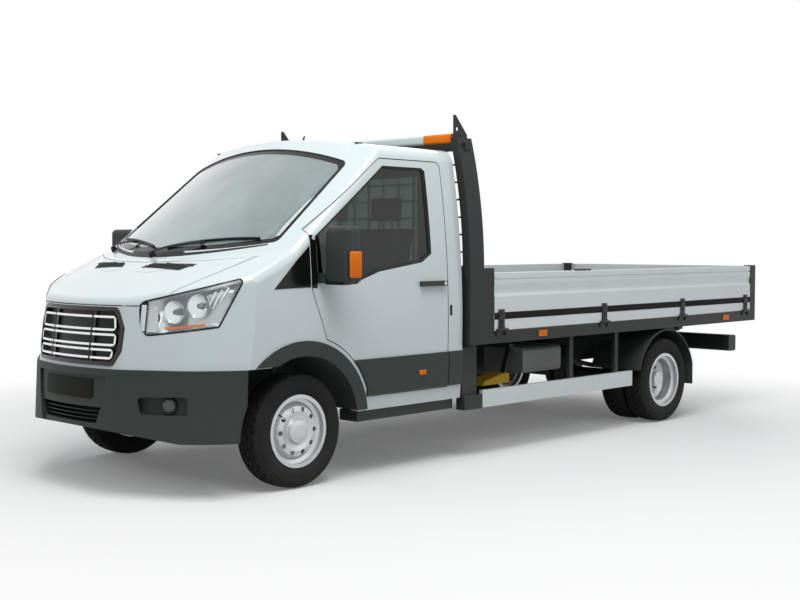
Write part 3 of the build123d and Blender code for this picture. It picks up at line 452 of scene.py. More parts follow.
plastic_gloss = make_finish(
    "plastic_gloss", (0.006, 0.007, 0.007), (0.009, 0.01, 0.01), 0.16, grain=800, bump=0.02,
    specular_ior_level=0.3)
mirror_silver = make_finish(
    "mirror_silver", (0.8, 0.83, 0.85), (0.76, 0.79, 0.81), 0.06, grain=3, bump=0.0,
    metallic=1.0)
plate_black = make_finish(
    "plate_black", (0.008, 0.008, 0.007), (0.013, 0.013, 0.011), 0.55, grain=900, bump=0.05,
    specular_ior_level=0.1)
print("paints, plastics and metals:", len(bpy.data.materials))


# %% Glass and lenses
glass_tinted = make_finish(
    "glass_tinted", (0.19, 0.24, 0.225), (0.17, 0.22, 0.21), 0.06, grain=3, bump=0.0,
    transmission_weight=1.0, ior=1.45, specular_ior_level=0.12)
lens_clear = make_finish(
    "lens_clear", (0.95, 0.97, 0.97), (0.9, 0.93, 0.94), 0.06, grain=30, bump=0.0,
    transmission_weight=1.0, ior=1.4)
lens_amber = make_finish(
    "lens_amber", (1.0, 0.24, 0.003), (0.95, 0.19, 0.002), 0.2, grain=500, bump=0.1,
    specular_ior_level=0.15)
lens_red = make_finish(
    "lens_red", (0.6, 0.02, 0.015), (0.5, 0.012, 0.01), 0.18, grain=500, bump=0.1,
    specular_ior_level=0.2)
# Windscreen glass: the pale base colour and its darker patches are a painted sky reflection, not a tint of
# the glass.
glass_painted_sky_reflection = make_finish(
    "glass_painted_sky_reflection", (0.66, 0.78, 0.79), (0.3, 0.4, 0.41), 0.07, grain=3, bump=0.0,
    transmission_weight=0.62, ior=1.5, coat_weight=1.0, coat_roughness=0.02)
print("lenses:", glass_tinted.name, lens_clear.name, lens_amber.name, lens_red.name)


# %% [markdown]
# ## Finishes on the solids
# The frame's record says which material slot each solid takes. A solid that keeps its shape only needs its
# finish: the slot's name picks it from a short table.

# %% Cab paint with its lining
def renamed_copy(finish, name):
    """A copy of a finish under a name of its own."""
    copied = finish.copy()
    copied.name = name
    return copied


def second_colour(finish, mask, colour, fading=None):
    """Gives a finish another colour where the mask is 1; a setting named as fading ends there."""
    tree = finish.node_tree
    shader = tree.nodes["Principled BSDF"]
    first = shader.inputs["Base Color"].links[0].from_socket
    tree.links.new(tint_by(tree, mask, first, colour), shader.inputs["Base Color"])
    if fading:
        tree.links.new(math_node(tree, "SUBTRACT", 1.0, mask), shader.inputs[fading])


# Inside the cab the panels are trimmed in grey. A face belongs to the inside when it looks towards the
# cab's middle.
cab_middle = (ahead(-0.55), 0, 1.3)
lining_grey = (0.075, 0.08, 0.082, 1)
inside_group, _, inside_out = open_group("cab_inside", {}, ["Mask"])
inside_coords = inside_group.nodes.new("ShaderNodeTexCoord").outputs
from_middle = vector_node(inside_group, "SUBTRACT", inside_coords["Object"], cab_middle)["Vector"]
outwards = vector_node(inside_group, "DOT_PRODUCT", from_middle, inside_coords["Normal"])["Value"]
wire(inside_group, math_node(inside_group, "LESS_THAN", outwards, -0.02), inside_out.inputs["Mask"])

cab_white = renamed_copy(paint_white, "cab_white")
inside_mask = place_group(cab_white.node_tree, inside_group).outputs["Mask"]
second_colour(cab_white, inside_mask, lining_grey, "Coat Weight")
cab_nodes = (
    "cab_roof", "cab_rear_panel", "cab_side_left", "cab_side_right", "cab_floor", "door_left", "door_right")
print("cab lining by mask on", len(cab_nodes), "panels")


# %% Grille, chock and light bar in two colours
# The grille's loops are chrome in a black frame, and only the wedge of the chock is yellow. The light bar
# behind the roof is amber at its ends, with a pale cover between them. Each is one solid, so a mask made
# from the place on the solid parts the colours.
grille_black = (0.01, 0.011, 0.011, 1)
holder_black = (0.02, 0.024, 0.023, 1)
cover_pale = (0.72, 0.8, 0.81, 1)
# how much of the way out and of the height counts, and the sum where the frame starts
frame_edges = [
    (1.0, 0.0, 0.411), (0.902, 0.431, 0.8), (0.865, -0.5015, -0.07), (0.0, 1.0, 1.062), (0.0, -1.0, -0.793)]
carrier_middle, carrier_half = 0.205, 0.0078
wedge_top = 0.5115
cover_half = 0.58

grille_group, _, grille_out = open_group("grille_frame", {}, ["Mask"])
grille_axes = object_axes(grille_group)
grille_side = math_node(grille_group, "ABSOLUTE", grille_axes["Y"])
off_carrier = math_node(grille_group, "SUBTRACT", grille_side, carrier_middle)
dark = math_node(grille_group, "LESS_THAN", math_node(grille_group, "ABSOLUTE", off_carrier), carrier_half)
for out_share, up_share, edge in frame_edges:
    reach_out = math_node(grille_group, "MULTIPLY", grille_side, out_share)
    reach_up = math_node(grille_group, "MULTIPLY", grille_axes["Z"], up_share)
    past = math_node(
        grille_group, "GREATER_THAN", math_node(grille_group, "ADD", reach_out, reach_up), edge)
    dark = math_node(grille_group, "MAXIMUM", dark, past)
wire(grille_group, dark, grille_out.inputs["Mask"])
grille_chrome = renamed_copy(chrome_bright, "grille_chrome")
grille_mask = place_group(grille_chrome.node_tree, grille_group).outputs["Mask"]
second_colour(grille_chrome, grille_mask, grille_black, "Metallic")

height_group, height_in, height_out = open_group("above_height", {"Height": 0.5}, ["Mask"])
above = math_node(height_group, "GREATER_THAN", object_axes(height_group)["Z"], height_in.outputs["Height"])
wire(height_group, above, height_out.inputs["Mask"])
holder_mask = place_group(chock_yellow.node_tree, height_group, Height=wedge_top).outputs["Mask"]
second_colour(chock_yellow, holder_mask, holder_black)

bar_amber = renamed_copy(lens_amber, "bar_amber")
bar_side = math_node(bar_amber.node_tree, "ABSOLUTE", object_axes(bar_amber.node_tree)["Y"])
cover_mask = math_node(bar_amber.node_tree, "LESS_THAN", bar_side, cover_half)
second_colour(bar_amber, cover_mask, cover_pale)
print("two colours by mask on the grille, the chock and the light bar")


# %% Finishes by slot
slot_finish = {
    "body_white": paint_white, "plastic_dark": plastic_dark, "glass_dark": glass_tinted,
    "chrome_trim": chrome_bright, "lamp_clear": lens_clear, "tyre_black": rubber_black,
    "rim_silver": rim_silver, "frame_black": paint_black, "bed_alloy": alloy_pale,
    "amber_lens": lens_amber, "red_lens": lens_red, "seat_cloth": cabin_grey,
    "cabin_plastic": cabin_grey, "engine_iron": iron_cast, "chock_yellow": chock_yellow,
    "tank_grey": tank_grey, "ram_steel": steel_ground}
node_slot = {part["node"]: part["material_slot"] for part in frame["record"]["subparts"]}
for node_name, node in frame["nodes"].items():
    node.data.materials.clear()
    node.data.materials.append(cab_white if node_name in cab_nodes else slot_finish[node_slot[node_name]])
frame["nodes"]["bed_floor"].data.materials[0] = alloy_floor
frame["nodes"]["grille"].data.materials[0] = grille_chrome
frame["nodes"]["amber_lamps"].data.materials[0] = bar_amber
print("finished", len(node_slot), "solids")


# %% [markdown]
# ## Making pieces
# Every small piece goes the same way: a bmesh is shaped with a few operators, its doubles are merged and
# its faces turned outwards, and it becomes an object that rides one body of the truck. Three makers cover
# most shapes: a box with rounded edges, a turned shape, and an outline carried along a path, as a rubber
# seal or a wiper arm is.

# %% Piece helpers
merge_distance = 0.00002


def finish_piece(name, bm, finish, body, stands_for=(), sharp=35):
    """Turns a bmesh into a piece that rides a body and wears a finish."""
    bmesh.ops.remove_doubles(bm, verts=bm.verts, dist=merge_distance)
    bmesh.ops.recalc_face_normals(bm, faces=bm.faces)
    mesh = bpy.data.meshes.new(name)
    bm.to_mesh(mesh)
    bm.free()
    mesh.materials.append(finish)
    mesh.shade_smooth()
    mesh.set_sharp_from_angle(angle=math.radians(sharp))
    piece = bpy.data.objects.new(name, mesh)
    scene.collection.objects.link(piece)
    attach(piece, body)
    if stands_for:
        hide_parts(*stands_for)
    print(name, "has", len(mesh.polygons), "faces")
    return piece


def new_verts(made):
    """The vertices among what an operator made."""
    return [part for part in made["geom"] if isinstance(part, bmesh.types.BMVert)]


def add_box(bm, low, high, radius=0.0, steps=2, turn=None):
    """A box between two corners, with rounded edges, turned about its middle."""
    low, high = Vector(low), Vector(high)
    place = Matrix.Translation((low + high) / 2)
    if turn is not None:
        place = place @ turn.to_4x4()
    made = bmesh.ops.create_cube(bm, size=1.0, matrix=place @ Matrix.Diagonal((*(high - low), 1)))
    if radius:
        edges = list(dict.fromkeys(edge for vert in made["verts"] for edge in vert.link_edges))
        bmesh.ops.bevel(
            bm, geom=edges, offset=radius, offset_type="OFFSET", segments=steps, profile=0.5,
            affect="EDGES", material=-1)


def add_post(bm, start, end, radius, tip=None, sides=16):
    """A round post between two places; tip is the radius at its far end."""
    start, end = Vector(start), Vector(end)
    turn = (end - start).to_track_quat("Z", "Y").to_matrix().to_4x4()
    bmesh.ops.create_cone(
        bm, cap_ends=True, segments=sides, radius1=radius, radius2=radius if tip is None else tip,
        depth=(end - start).length, matrix=Matrix.Translation((start + end) / 2) @ turn)


def add_turned(bm, centre, axis, rows, steps=32):
    """A turned shape: rows of (along the axis, radius) spun round."""
    axis = Vector(axis).normalized()
    side = axis.orthogonal().normalized()
    chain = [bm.verts.new(Vector(centre) + axis * along + side * radius) for along, radius in rows]
    edges = [bm.edges.new(pair) for pair in zip(chain, chain[1:])]
    bmesh.ops.spin(
        bm, geom=chain + edges, cent=centre, axis=axis, angle=math.tau, steps=steps, use_merge=True)


def add_sweep(bm, path, outline, up=(0, 0, 1), closed=False):
    """A flat outline of (sideways, upwards) points carried along a path; a closed one joins its start."""
    path = [Vector(point) for point in path]
    last = len(path) - 1

    def stand(i):
        before = path[i - 1] if closed or i else path[i]
        after = path[(i + 1) % len(path)] if closed or i < last else path[i]
        along = (after - before).normalized()
        side = Vector(up).cross(along).normalized()
        turn = Matrix((side, along.cross(side), along)).transposed().to_4x4()
        return Matrix.Translation(path[i]) @ turn

    here = stand(0)
    start_face = bm.faces.new([bm.verts.new(here @ Vector((a, b, 0))) for a, b in outline])
    end_face = start_face
    for i in list(range(1, len(path))) + ([0] if closed else []):
        made = bmesh.ops.extrude_face_region(bm, geom=[end_face])
        end_face = next(part for part in made["geom"] if isinstance(part, bmesh.types.BMFace))
        bmesh.ops.transform(bm, matrix=stand(i) @ here.inverted(), verts=new_verts(made))
        here = stand(i)
    if closed:
        bmesh.ops.delete(
            bm, geom=[face for face in (start_face, end_face) if face.is_valid], context="FACES_ONLY")


def rounded_outline(points, radius, steps=5):
    """A flat outline with its corners rounded, as a list of (across, up) pairs."""
    bm = bmesh.new()
    bm.faces.new([bm.verts.new((across, up, 0)) for across, up in points])
    bmesh.ops.bevel(
        bm, geom=bm.verts[:], offset=radius, offset_type="OFFSET", segments=steps, profile=0.5,
        affect="VERTICES", material=-1)
    bm.faces.ensure_lookup_table()
    outline = [(vert.co.x, vert.co.y) for vert in bm.faces[0].verts]
    bm.free()
    return outline


def thicken(bm, way):
    """Gives an open sheet its thickness, towards way."""
    made = bmesh.ops.extrude_face_region(bm, geom=bm.faces[:])
    bmesh.ops.translate(bm, vec=way, verts=new_verts(made))


def node_sheet(node, keep):
    """A merged copy of a node with only the faces to keep."""
    bm = bmesh.new()
    bm.from_mesh(frame["nodes"][node].data)
    bmesh.ops.remove_doubles(bm, verts=bm.verts, dist=merge_distance)
    bmesh.ops.delete(bm, geom=[face for face in bm.faces if not keep(face)], context="FACES")
    return bm


def grid_by_rays(bm, node, cuts, start_of, way, lift, reach, side=1):
    """A grid laid on a node by rays of limited reach; vertices whose ray misses are dropped."""
    missed = []
    for vert in bmesh.ops.create_grid(bm, x_segments=cuts[0], y_segments=cuts[1], size=1.0)["verts"]:
        place = panel_tree(node).ray_cast(start_of(vert.co.x, vert.co.y), way, reach)[0]
        if place is None:
            missed.append(vert)
        else:
            place -= way * lift
            vert.co = (place.x, side * place.y, place.z)
    bmesh.ops.delete(bm, geom=missed, context="VERTS")


def flat_section(half, low, high):
    """A plain section of (sideways, upwards) points."""
    return [(-half, low), (half, low), (half, high), (-half, high)]


def cut_across(bm, normal, places):
    """Cuts a sheet along planes, so that it can follow a curved panel."""
    for place in places:
        geom = bm.verts[:] + bm.edges[:] + bm.faces[:]
        bmesh.ops.bisect_plane(bm, geom=geom, plane_co=place, plane_no=normal)


def steps_between(first, last, count):
    """Evenly spaced values from first to last."""
    return [first + (last - first) * i / (count - 1) for i in range(count)]


both_sides = (("left", 1), ("right", -1))
print("piece helpers ready")


# %% [markdown]
# ## Tyres
# A van tyre has broad ribs parted by four grooves, cross cuts in the ribs and open blocks on its shoulders.
# The half section is drawn once, spun round the axle and mirrored. Then faces of the ribs are inset and
# pushed down. Real cuts catch the light at the tread's edge, which a bump map alone would not do.

# %% Tyres
tread_steps = 120
cut_depth = 0.0055
# across the tread from its middle, below the crown
tyre_rows = [
    (0, 0), (0.012, 0.0001), (0.0125, 0.0072), (0.0195, 0.0074), (0.02, 0.0003), (0.042, 0.0013),
    (0.0425, 0.0085), (0.0495, 0.0088), (0.05, 0.0018), (0.0645, 0.003), (0.0775, 0.007), (0.0845, 0.017),
    (0.0918, 0.034), (0.0952, 0.044), (0.0968, 0.0455), (0.0968, 0.0485), (0.0962, 0.05), (0.0975, 0.064),
    (0.0968, 0.08), (0.0935, 0.096), (0.0865, 0.11), (0.076, 0.1205), (0.076, 0.137), (0, 0.137)]
# ribs: from, to across, one cut every so many steps, shift
rib_cuts = [(0.0, 0.012, 3, 0), (0.02, 0.042, 4, 1), (0.05, 0.0775, 4, 3)]


def rib_is_cut(face):
    """Whether a tread face is the floor of a cross cut."""
    middle = face.calc_center_median()
    if math.hypot(middle.x, middle.z) < tyre_radius - 0.012:
        return False
    turn = int((math.atan2(middle.z, middle.x) / math.tau + 1) * tread_steps)
    turn += 2 if middle.y > 0 else 0
    return any(
        start < abs(middle.y) < end and turn % every == shift for start, end, every, shift in rib_cuts)


def tyre_shape():
    """One tyre round the origin, its axle along y."""
    bm = bmesh.new()
    chain = [bm.verts.new((0, across, tyre_radius - drop)) for across, drop in tyre_rows]
    edges = [bm.edges.new(pair) for pair in zip(chain, chain[1:])]
    bmesh.ops.spin(
        bm, geom=chain + edges, cent=(0, 0, 0), axis=(0, 1, 0), angle=math.tau, steps=tread_steps,
        use_merge=True)
    bmesh.ops.mirror(bm, geom=bm.verts[:] + bm.edges[:] + bm.faces[:], axis="Y", merge_dist=0.0001)
    bmesh.ops.remove_doubles(bm, verts=bm.verts, dist=merge_distance)
    bmesh.ops.recalc_face_normals(bm, faces=bm.faces)
    floors = [face for face in bm.faces if rib_is_cut(face)]
    bmesh.ops.inset_region(bm, faces=floors, thickness=0.0009, depth=-cut_depth, use_even_offset=True)
    mesh = bpy.data.meshes.new("tyre_shape")
    bm.to_mesh(mesh)
    bm.free()
    return mesh


one_tyre = tyre_shape()
wheel_width = 0.195


def wheel_middles(node):
    """Middles of the wheels in a tyre node, the outer one first."""
    low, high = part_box(node)
    side = 1 if low.y > 0 else -1
    outer = (high.y if side > 0 else low.y) - side * wheel_width / 2
    inner = (low.y if side > 0 else high.y) + side * wheel_width / 2
    across = [outer] if abs(outer - inner) < 0.02 else [outer, inner]
    return [Vector(((low.x + high.x) / 2, y, (low.z + high.z) / 2)) for y in across]


tyre_bodies = {
    "tyre_front_left": "wheel_front_left", "tyre_front_right": "wheel_front_right",
    "tyres_rear_left": "wheels_rear_left", "tyres_rear_right": "wheels_rear_right"}
for tyre_node, wheel_body in tyre_bodies.items():
    tyre_bm = bmesh.new()
    for middle in wheel_middles(tyre_node):
        known = set(tyre_bm.verts)
        tyre_bm.from_mesh(one_tyre)
        bmesh.ops.translate(
            tyre_bm, vec=middle, verts=[vert for vert in tyre_bm.verts if vert not in known])
    finish_piece(
        f"tread_{tyre_node}", tyre_bm, rubber_black, wheel_body, [tyre_node], sharp=28)
bpy.data.meshes.remove(one_tyre)


# %% [markdown]
# ## Wheel nuts and valves
# Deep dished rear wheels show a ring of six nuts. The front ones hide theirs under a domed cap. A nut is a
# six-sided cone on a round washer. Each wheel also has a short rubber valve through the rim.

# %% Wheel nuts and valves
nut_ring, nut_count = 0.093, 6
dish_depth = 0.106
# washer, nut and stud: from, to, radius, radius at the tip, sides
nut_parts = [
    (-0.002, 0.004, 0.017, 0.0155, 20), (0.003, 0.02, 0.0128, 0.0118, 6), (0.018, 0.027, 0.0065, 0.006, 12)]
valve_ring = 0.168
valve_spoke = Vector((math.cos(0.7), 0, math.sin(0.7)))
# foot, knee and tip of a valve: in from the ring, out from its foot
valve_bends = [(0, -0.004), (0.006, 0.02), (0.014, 0.042)]
for side_name, side in both_sides:
    rear_middle = wheel_middles(f"tyres_rear_{side_name}")[0]
    front_middle = wheel_middles(f"tyre_front_{side_name}")[0]
    out = Vector((0, side, 0))
    nut_bm = bmesh.new()
    for i in range(nut_count):
        turn = math.tau * (i + 0.5) / nut_count
        spoke = Vector((math.cos(turn), 0, math.sin(turn))) * nut_ring
        seat = rear_middle + spoke - out * dish_depth
        for start, end, radius, tip, sides in nut_parts:
            add_post(nut_bm, seat + out * start, seat + out * end, radius, tip, sides)
    finish_piece(
        f"rear_nuts_{side_name}", nut_bm, steel_ground, f"wheels_rear_{side_name}", sharp=25)
    for place, wheel, middle, foot in (
            ("front", f"wheel_front_{side_name}", front_middle, 0.03),
            ("rear", f"wheels_rear_{side_name}", rear_middle, -0.03)):
        valve_bm = bmesh.new()
        start, knee, tip = [
            middle + valve_spoke * (valve_ring - inwards) + out * (foot + rise)
            for inwards, rise in valve_bends]
        add_post(valve_bm, start, knee, 0.0075, 0.0052)
        add_post(valve_bm, knee, tip, 0.0046, 0.0042)
        finish_piece(f"{place}_valve_{side_name}", valve_bm, rubber_black, wheel)


# %% [markdown]
# ## Headlamps
# A headlamp is a clear lens over a bright tub with bowls and facets in it. The tub and the lens come from a
# merged copy of the lamp's solid: its outward faces become a thin lens, the rest becomes the tub. Cutting
# the copy keeps both exactly in the opening of the nose, which a new shape would have to be fitted to.

# %% Headlamp lens and tub
lamp_turn = math.radians(50)
lamp_out = Vector((math.cos(lamp_turn), math.sin(lamp_turn), 0))
lamp_along = Vector((-math.sin(lamp_turn), math.cos(lamp_turn), 0))
lamp_clear = 1.6


def lamp_way(side):
    """Direction that the lens of that side faces."""
    return Vector((lamp_out.x, side * lamp_out.y, 0))


def is_lens(face):
    """Whether a face of a headlamp looks out of its opening."""
    side = 1 if face.calc_center_median().y > 0 else -1
    return face.normal.dot(lamp_way(side)) > 0.3


def lamp_ray(along, height):
    """Start of a ray against the left lamp, at a place along it and a height."""
    return Vector((axle_x, 0, height)) + lamp_along * along + lamp_out * lamp_clear


def lamp_place(side, along, height, sink):
    """A place inside a headlamp, sunk behind its lens."""
    place = on_panel("headlamps", lamp_ray(along, height), -lamp_out)[0] - lamp_out * sink
    return Vector((place.x, side * place.y, place.z))


def edge_chains(bm):
    """The open edges of a sheet as closed chains of places."""
    left = dict.fromkeys(edge for edge in bm.edges if edge.is_boundary)
    chains = []
    while left:
        start, here = left.popitem()[0].verts
        chain = [start.co.copy()]
        while here != start:
            chain.append(here.co.copy())
            edge = next(edge for edge in here.link_edges if edge in left)
            del left[edge]
            here = edge.other_vert(here)
        chains.append(chain)
    return chains


lens_bm = node_sheet("headlamps", is_lens)
lens_chains = edge_chains(lens_bm)
bmesh.ops.solidify(lens_bm, geom=lens_bm.faces[:], thickness=0.003)
finish_piece("headlamp_lenses", lens_bm, lens_clear, "chassis", ["headlamps"])
tub_bm = node_sheet("headlamps", lambda face: not is_lens(face))
bmesh.ops.solidify(tub_bm, geom=tub_bm.faces[:], thickness=0.0025)
finish_piece("headlamp_tubs", tub_bm, rim_silver, "chassis", ["headlamps"])


# %% Headlamp liners
# A silver sheet lies behind the lens at the inner end, and another one closes the slot between lamp and
# nose.
liner_middle, liner_half, liner_sink = Vector((-0.25, 1.035)), Vector((0.06, 0.075)), 0.012
slot_middle, slot_half = Vector((0.546, 1.04)), Vector((0.028, 0.075))
# where the slot's sheet lies ahead of the axle at one place, and how that changes outwards and upwards
slot_place, slot_ahead, slot_outwards, slot_upwards = Vector((0.5, 1.03)), 0.827, -0.617, -0.13


def liner_start(right, up):
    """Start of the ray for one corner of the liner's grid."""
    return lamp_ray(*(liner_middle + Vector((right, up)) * liner_half))


liner_bm = bmesh.new()
for _, side in both_sides:
    grid_by_rays(liner_bm, "headlamps", (12, 12), liner_start, -lamp_out, -liner_sink, 2 * lamp_clear, side)
    for vert in bmesh.ops.create_grid(liner_bm, x_segments=4, y_segments=4, size=1.0)["verts"]:
        across, height = slot_middle + vert.co.xy * slot_half
        off = Vector((across, height)) - slot_place
        forward = slot_ahead + slot_outwards * off.x + slot_upwards * off.y
        vert.co = (ahead(forward), side * across, height)
thicken(liner_bm, (-0.002, 0, 0))
finish_piece("headlamp_liners", liner_bm, rim_silver, "chassis")


# %% Headlamp bowls, facets, strips and rims
# along, height, radius, sink behind the lens
lamp_bowls = [(-0.225, 1.045, 0.05, 0.016), (-0.095, 1.075, 0.062, 0.018), (0.045, 1.11, 0.066, 0.02)]
# along, height, rise, lean
lamp_facets = [(0.115, 1.135, 0.13, 0.45), (0.15, 1.15, 0.12, 0.5), (0.19, 1.175, 0.1, 0.55)]
facet_width, facet_sink = 0.012, 0.022
strip_places, strip_sink = ((-0.15, 0.985), (-0.05, 0.99), (0.08, 1.005)), 0.01
bowl_bm = bmesh.new()
shield_bm = bmesh.new()
strip_bm = bmesh.new()
rim_bm = bmesh.new()
for _, side in both_sides:
    faces_way = Vector((0.9, side * 0.44, 0)).normalized()
    for along, height, radius, sink in lamp_bowls:
        mouth = lamp_place(side, along, height, sink)
        add_turned(bowl_bm, mouth, faces_way, [
            (-0.02, 0.0), (-0.019, radius * 0.35), (-0.012, radius * 0.7), (0, radius),
            (0.002, radius + 0.003), (-0.002, radius + 0.004), (-0.02, radius * 0.72), (-0.026, 0.0)], 36)
        add_turned(shield_bm, mouth, faces_way, [
            (-0.02, 0.0), (-0.02, radius * 0.26), (-0.004, radius * 0.24), (0.002, radius * 0.12),
            (0.003, 0.0)], 24)
    for along, height, rise, lean in lamp_facets:
        middle = lamp_place(side, along, height, facet_sink)
        turn = Matrix.Rotation(side * (math.pi - lamp_turn), 3, "Z")
        tilt = Matrix.Rotation(lean, 3, "Y")
        size = Vector((facet_width, facet_width, rise)) / 2
        add_box(bowl_bm, middle - size, middle + size, 0.003, 2, turn @ tilt)
    run = [lamp_place(side, along, height, strip_sink) for along, height in strip_places]
    add_sweep(strip_bm, run, flat_section(0.003, -0.007, 0.007))
for chain in lens_chains:
    facing = lamp_way(1 if chain[0].y > 0 else -1)
    add_sweep(rim_bm, chain, flat_section(0.005, -0.004, 0.0015), facing, True)
finish_piece("headlamp_bowls", bowl_bm, chrome_bright, "chassis")
finish_piece("headlamp_shields", shield_bm, tank_grey, "chassis")
finish_piece("headlamp_strips", strip_bm, lens_amber, "chassis")
finish_piece("headlamp_rims", rim_bm, plastic_black, "chassis")


# %% [markdown]
# ## Front end
# The bumper carries a blank number plate, an air intake with slats in front of a dark screen, and a fog
# lamp in each corner pocket. The plate is a thin sheet laid on the bumper by rays, so it bends with it as a
# real one does.

# %% Backing of the grille
backing_half, backing_low, backing_top = 0.43, 0.775, 1.085
backing_start, backing_reach = 1.5, 0.8


def backing_ray(right, up):
    """Start of the ray for one corner of the backing's grid."""
    height = backing_low + (up + 1) / 2 * (backing_top - backing_low)
    return Vector((ahead(backing_start), right * backing_half, height))


backing_bm = bmesh.new()
grid_by_rays(backing_bm, "body_trim", (24, 16), backing_ray, Vector((-1, 0, 0)), 0.001, backing_reach)
thicken(backing_bm, (0.001, 0, 0))
finish_piece("grille_backing", backing_bm, plastic_black, "chassis")


# %% Number plate
plate_width, plate_height, plate_z = 0.5, 0.115, 0.625
plate_section = flat_section(plate_width / 2, plate_z - plate_height / 2, plate_z + plate_height / 2)
plate_bm = bmesh.new()
plate_bm.faces.new(
    [plate_bm.verts.new((ahead(1.2), y, z)) for y, z in rounded_outline(plate_section, 0.01)])
cut_across(plate_bm, (0, 1, 0), [(0, y, 0) for y in steps_between(-0.22, 0.22, 9)])
lay_on(plate_bm.verts, "front_bumper", (-1, 0, 0), 0.004)
thicken(plate_bm, (0.003, 0, 0))
finish_piece("front_plate", plate_bm, plate_black, "chassis")


# %% Intake slats and screen
intake_top = 0.52
# height and half width of each slat
slat_rows = ((0.448, 0.291), (0.471, 0.3), (0.495, 0.309))
slat_back = 0.026
slat_section = [(-0.016, -0.003), (0.014, -0.006), (0.016, -0.004), (0.016, 0.001), (-0.016, 0.003)]
screen_front, screen_half = ahead(0.8425), 0.335


def bumper_curve(z, half, count=13):
    """Places across the bumper's front at one height, moved back into it."""
    rows = []
    for y in steps_between(-half, half, count):
        place = on_panel("front_bumper", (ahead(1.3), y, intake_top + 0.03), (-1, 0, 0))[0]
        rows.append(Vector((place.x - slat_back, y, z)))
    return rows


slat_bm = bmesh.new()
for z, half in slat_rows:
    add_sweep(slat_bm, bumper_curve(z, half), slat_section)
finish_piece("intake_slats", slat_bm, plastic_black, "chassis")
screen_bm = bmesh.new()
add_box(screen_bm, (screen_front, -screen_half, 0.405), (screen_front + 0.003, screen_half, 0.54), 0.001, 1)
for y in steps_between(-0.3, 0.3, 41):
    add_box(screen_bm, (screen_front + 0.002, y - 0.002, 0.41), (screen_front + 0.009, y + 0.002, 0.535))
finish_piece("radiator_screen", screen_bm, plastic_black, "chassis")


# %% Fog lamps
fog_along, fog_height = -0.125, 0.543
fog_bezel = bmesh.new()
fog_glass = bmesh.new()
for _, side in both_sides:
    seat = on_panel("front_bumper", lamp_ray(fog_along, fog_height), -lamp_out)[0]
    seat.y *= side
    faces_way = Vector((0.86, side * 0.5, 0))
    add_turned(fog_bezel, seat, faces_way, [
        (-0.01, 0.0), (-0.01, 0.052), (0.012, 0.05), (0.02, 0.046), (0.022, 0.042), (0.016, 0.039),
        (0.01, 0.036), (0.004, 0.02), (0.002, 0.0)], 40)
    add_turned(fog_glass, seat, faces_way, [
        (0.012, 0.0388), (0.0175, 0.0388), (0.023, 0.026), (0.026, 0.0), (0.023, 0.0), (0.02, 0.026),
        (0.0145, 0.0365), (0.012, 0.0388)], 40)
finish_piece("fog_bezels", fog_bezel, plastic_dark, "chassis")
finish_piece("fog_lenses", fog_glass, lens_clear, "chassis")


# %% [markdown]
# ## Bonnet vents, cowl and wipers
# Two slim black vents sit in pockets of the bonnet, and a black plastic cowl fills the gap up to the
# windscreen, where the wipers lie. All of them follow curved panels, so each starts as a flat outline that
# is cut into strips, laid down on the panel by rays and given its thickness last.

# %% Bonnet vents
# ahead of the axle, across: the dark vent, and the painted filler that closes the pocket in front of it
vent_corners = [(0.53, 0.1), (0.507, 0.455), (0.413, 0.517), (0.441, 0.383), (0.476, 0.147)]
filler_corners = [(0.566, 0.087), (0.583, 0.216), (0.525, 0.353), (0.494, 0.338), (0.5, 0.103)]
vent_bars = (0.513, 0.495, 0.477, 0.459, 0.441)
vent_front, vent_margin = 0.62, 0.014
bonnet_rear, bonnet_rear_bow = 0.47, 0.345


def vent_place(d, y, lift):
    """A place over the bonnet as if the pocket were filled up."""
    vent_back = bonnet_rear - bonnet_rear_bow * y * y
    front = on_panel("bonnet", (ahead(vent_front), y, 2), (0, 0, -1))[0]
    back = on_panel("bonnet", (ahead(vent_back), y, 2), (0, 0, -1))[0]
    return back.lerp(front, (d - vent_back) / (vent_front - vent_back)) + Vector((0, 0, lift))


def vent_reach(d):
    """From where to where across the vent reaches, at one distance ahead of the axle."""
    crossings = []
    for (d0, y0), (d1, y1) in zip(vent_corners, vent_corners[1:] + vent_corners[:1]):
        if (d0 - d) * (d1 - d) < 0:
            crossings.append(y0 + (y1 - y0) * (d - d0) / (d1 - d0))
    return min(crossings) + vent_margin, max(crossings) - vent_margin


def vent_sheet(corners, side, lift, thickness):
    """A sheet with that outline over one side of the bonnet."""
    bm = bmesh.new()
    bm.faces.new([bm.verts.new((ahead(d), side * y, 0)) for d, y in rounded_outline(corners, 0.01)])
    cut_across(bm, (0, 1, 0), [(0, side * y, 0) for y in steps_between(0.12, 0.48, 10)])
    for vert in bm.verts:
        vert.co = vent_place(vert.co.x - axle_x, vert.co.y, lift)
    thicken(bm, (0, 0, -thickness))
    return bm


for side_name, side in both_sides:
    filler_bm = vent_sheet(filler_corners, side, 0.0014, 0.001)
    finish_piece(f"vent_filler_{side_name}", filler_bm, paint_white, "bonnet")
    vent_bm = vent_sheet(vent_corners, side, 0.0032, 0.0015)
    for d in vent_bars:
        run = [vent_place(d, side * y, 0.0045) for y in steps_between(*vent_reach(d), 8)]
        add_sweep(vent_bm, run, [(-0.004, -0.003), (0.004, -0.003), (0.001, 0.004), (-0.002, 0.004)])
    finish_piece(f"bonnet_vent_{side_name}", vent_bm, plastic_black, "bonnet")


# %% Windscreen places
screen_slope = math.radians(37.8)
screen_foot = Vector((ahead(0.42), 0, 1.37))
screen_up = Vector((-math.cos(screen_slope), 0, math.sin(screen_slope)))
screen_out = Vector((math.sin(screen_slope), 0, math.cos(screen_slope)))
# half width, height at the corners and in the middle, of the lower and the upper edge
low_edge = (0.84, 0.35, 0.075)
top_edge = (0.79, 1.16, 1.195)


def over_foot(across, up):
    """A place well off the windscreen: across it and up its slope."""
    return screen_foot + Vector((0, across, 0)) + screen_up * up + screen_out * 0.6


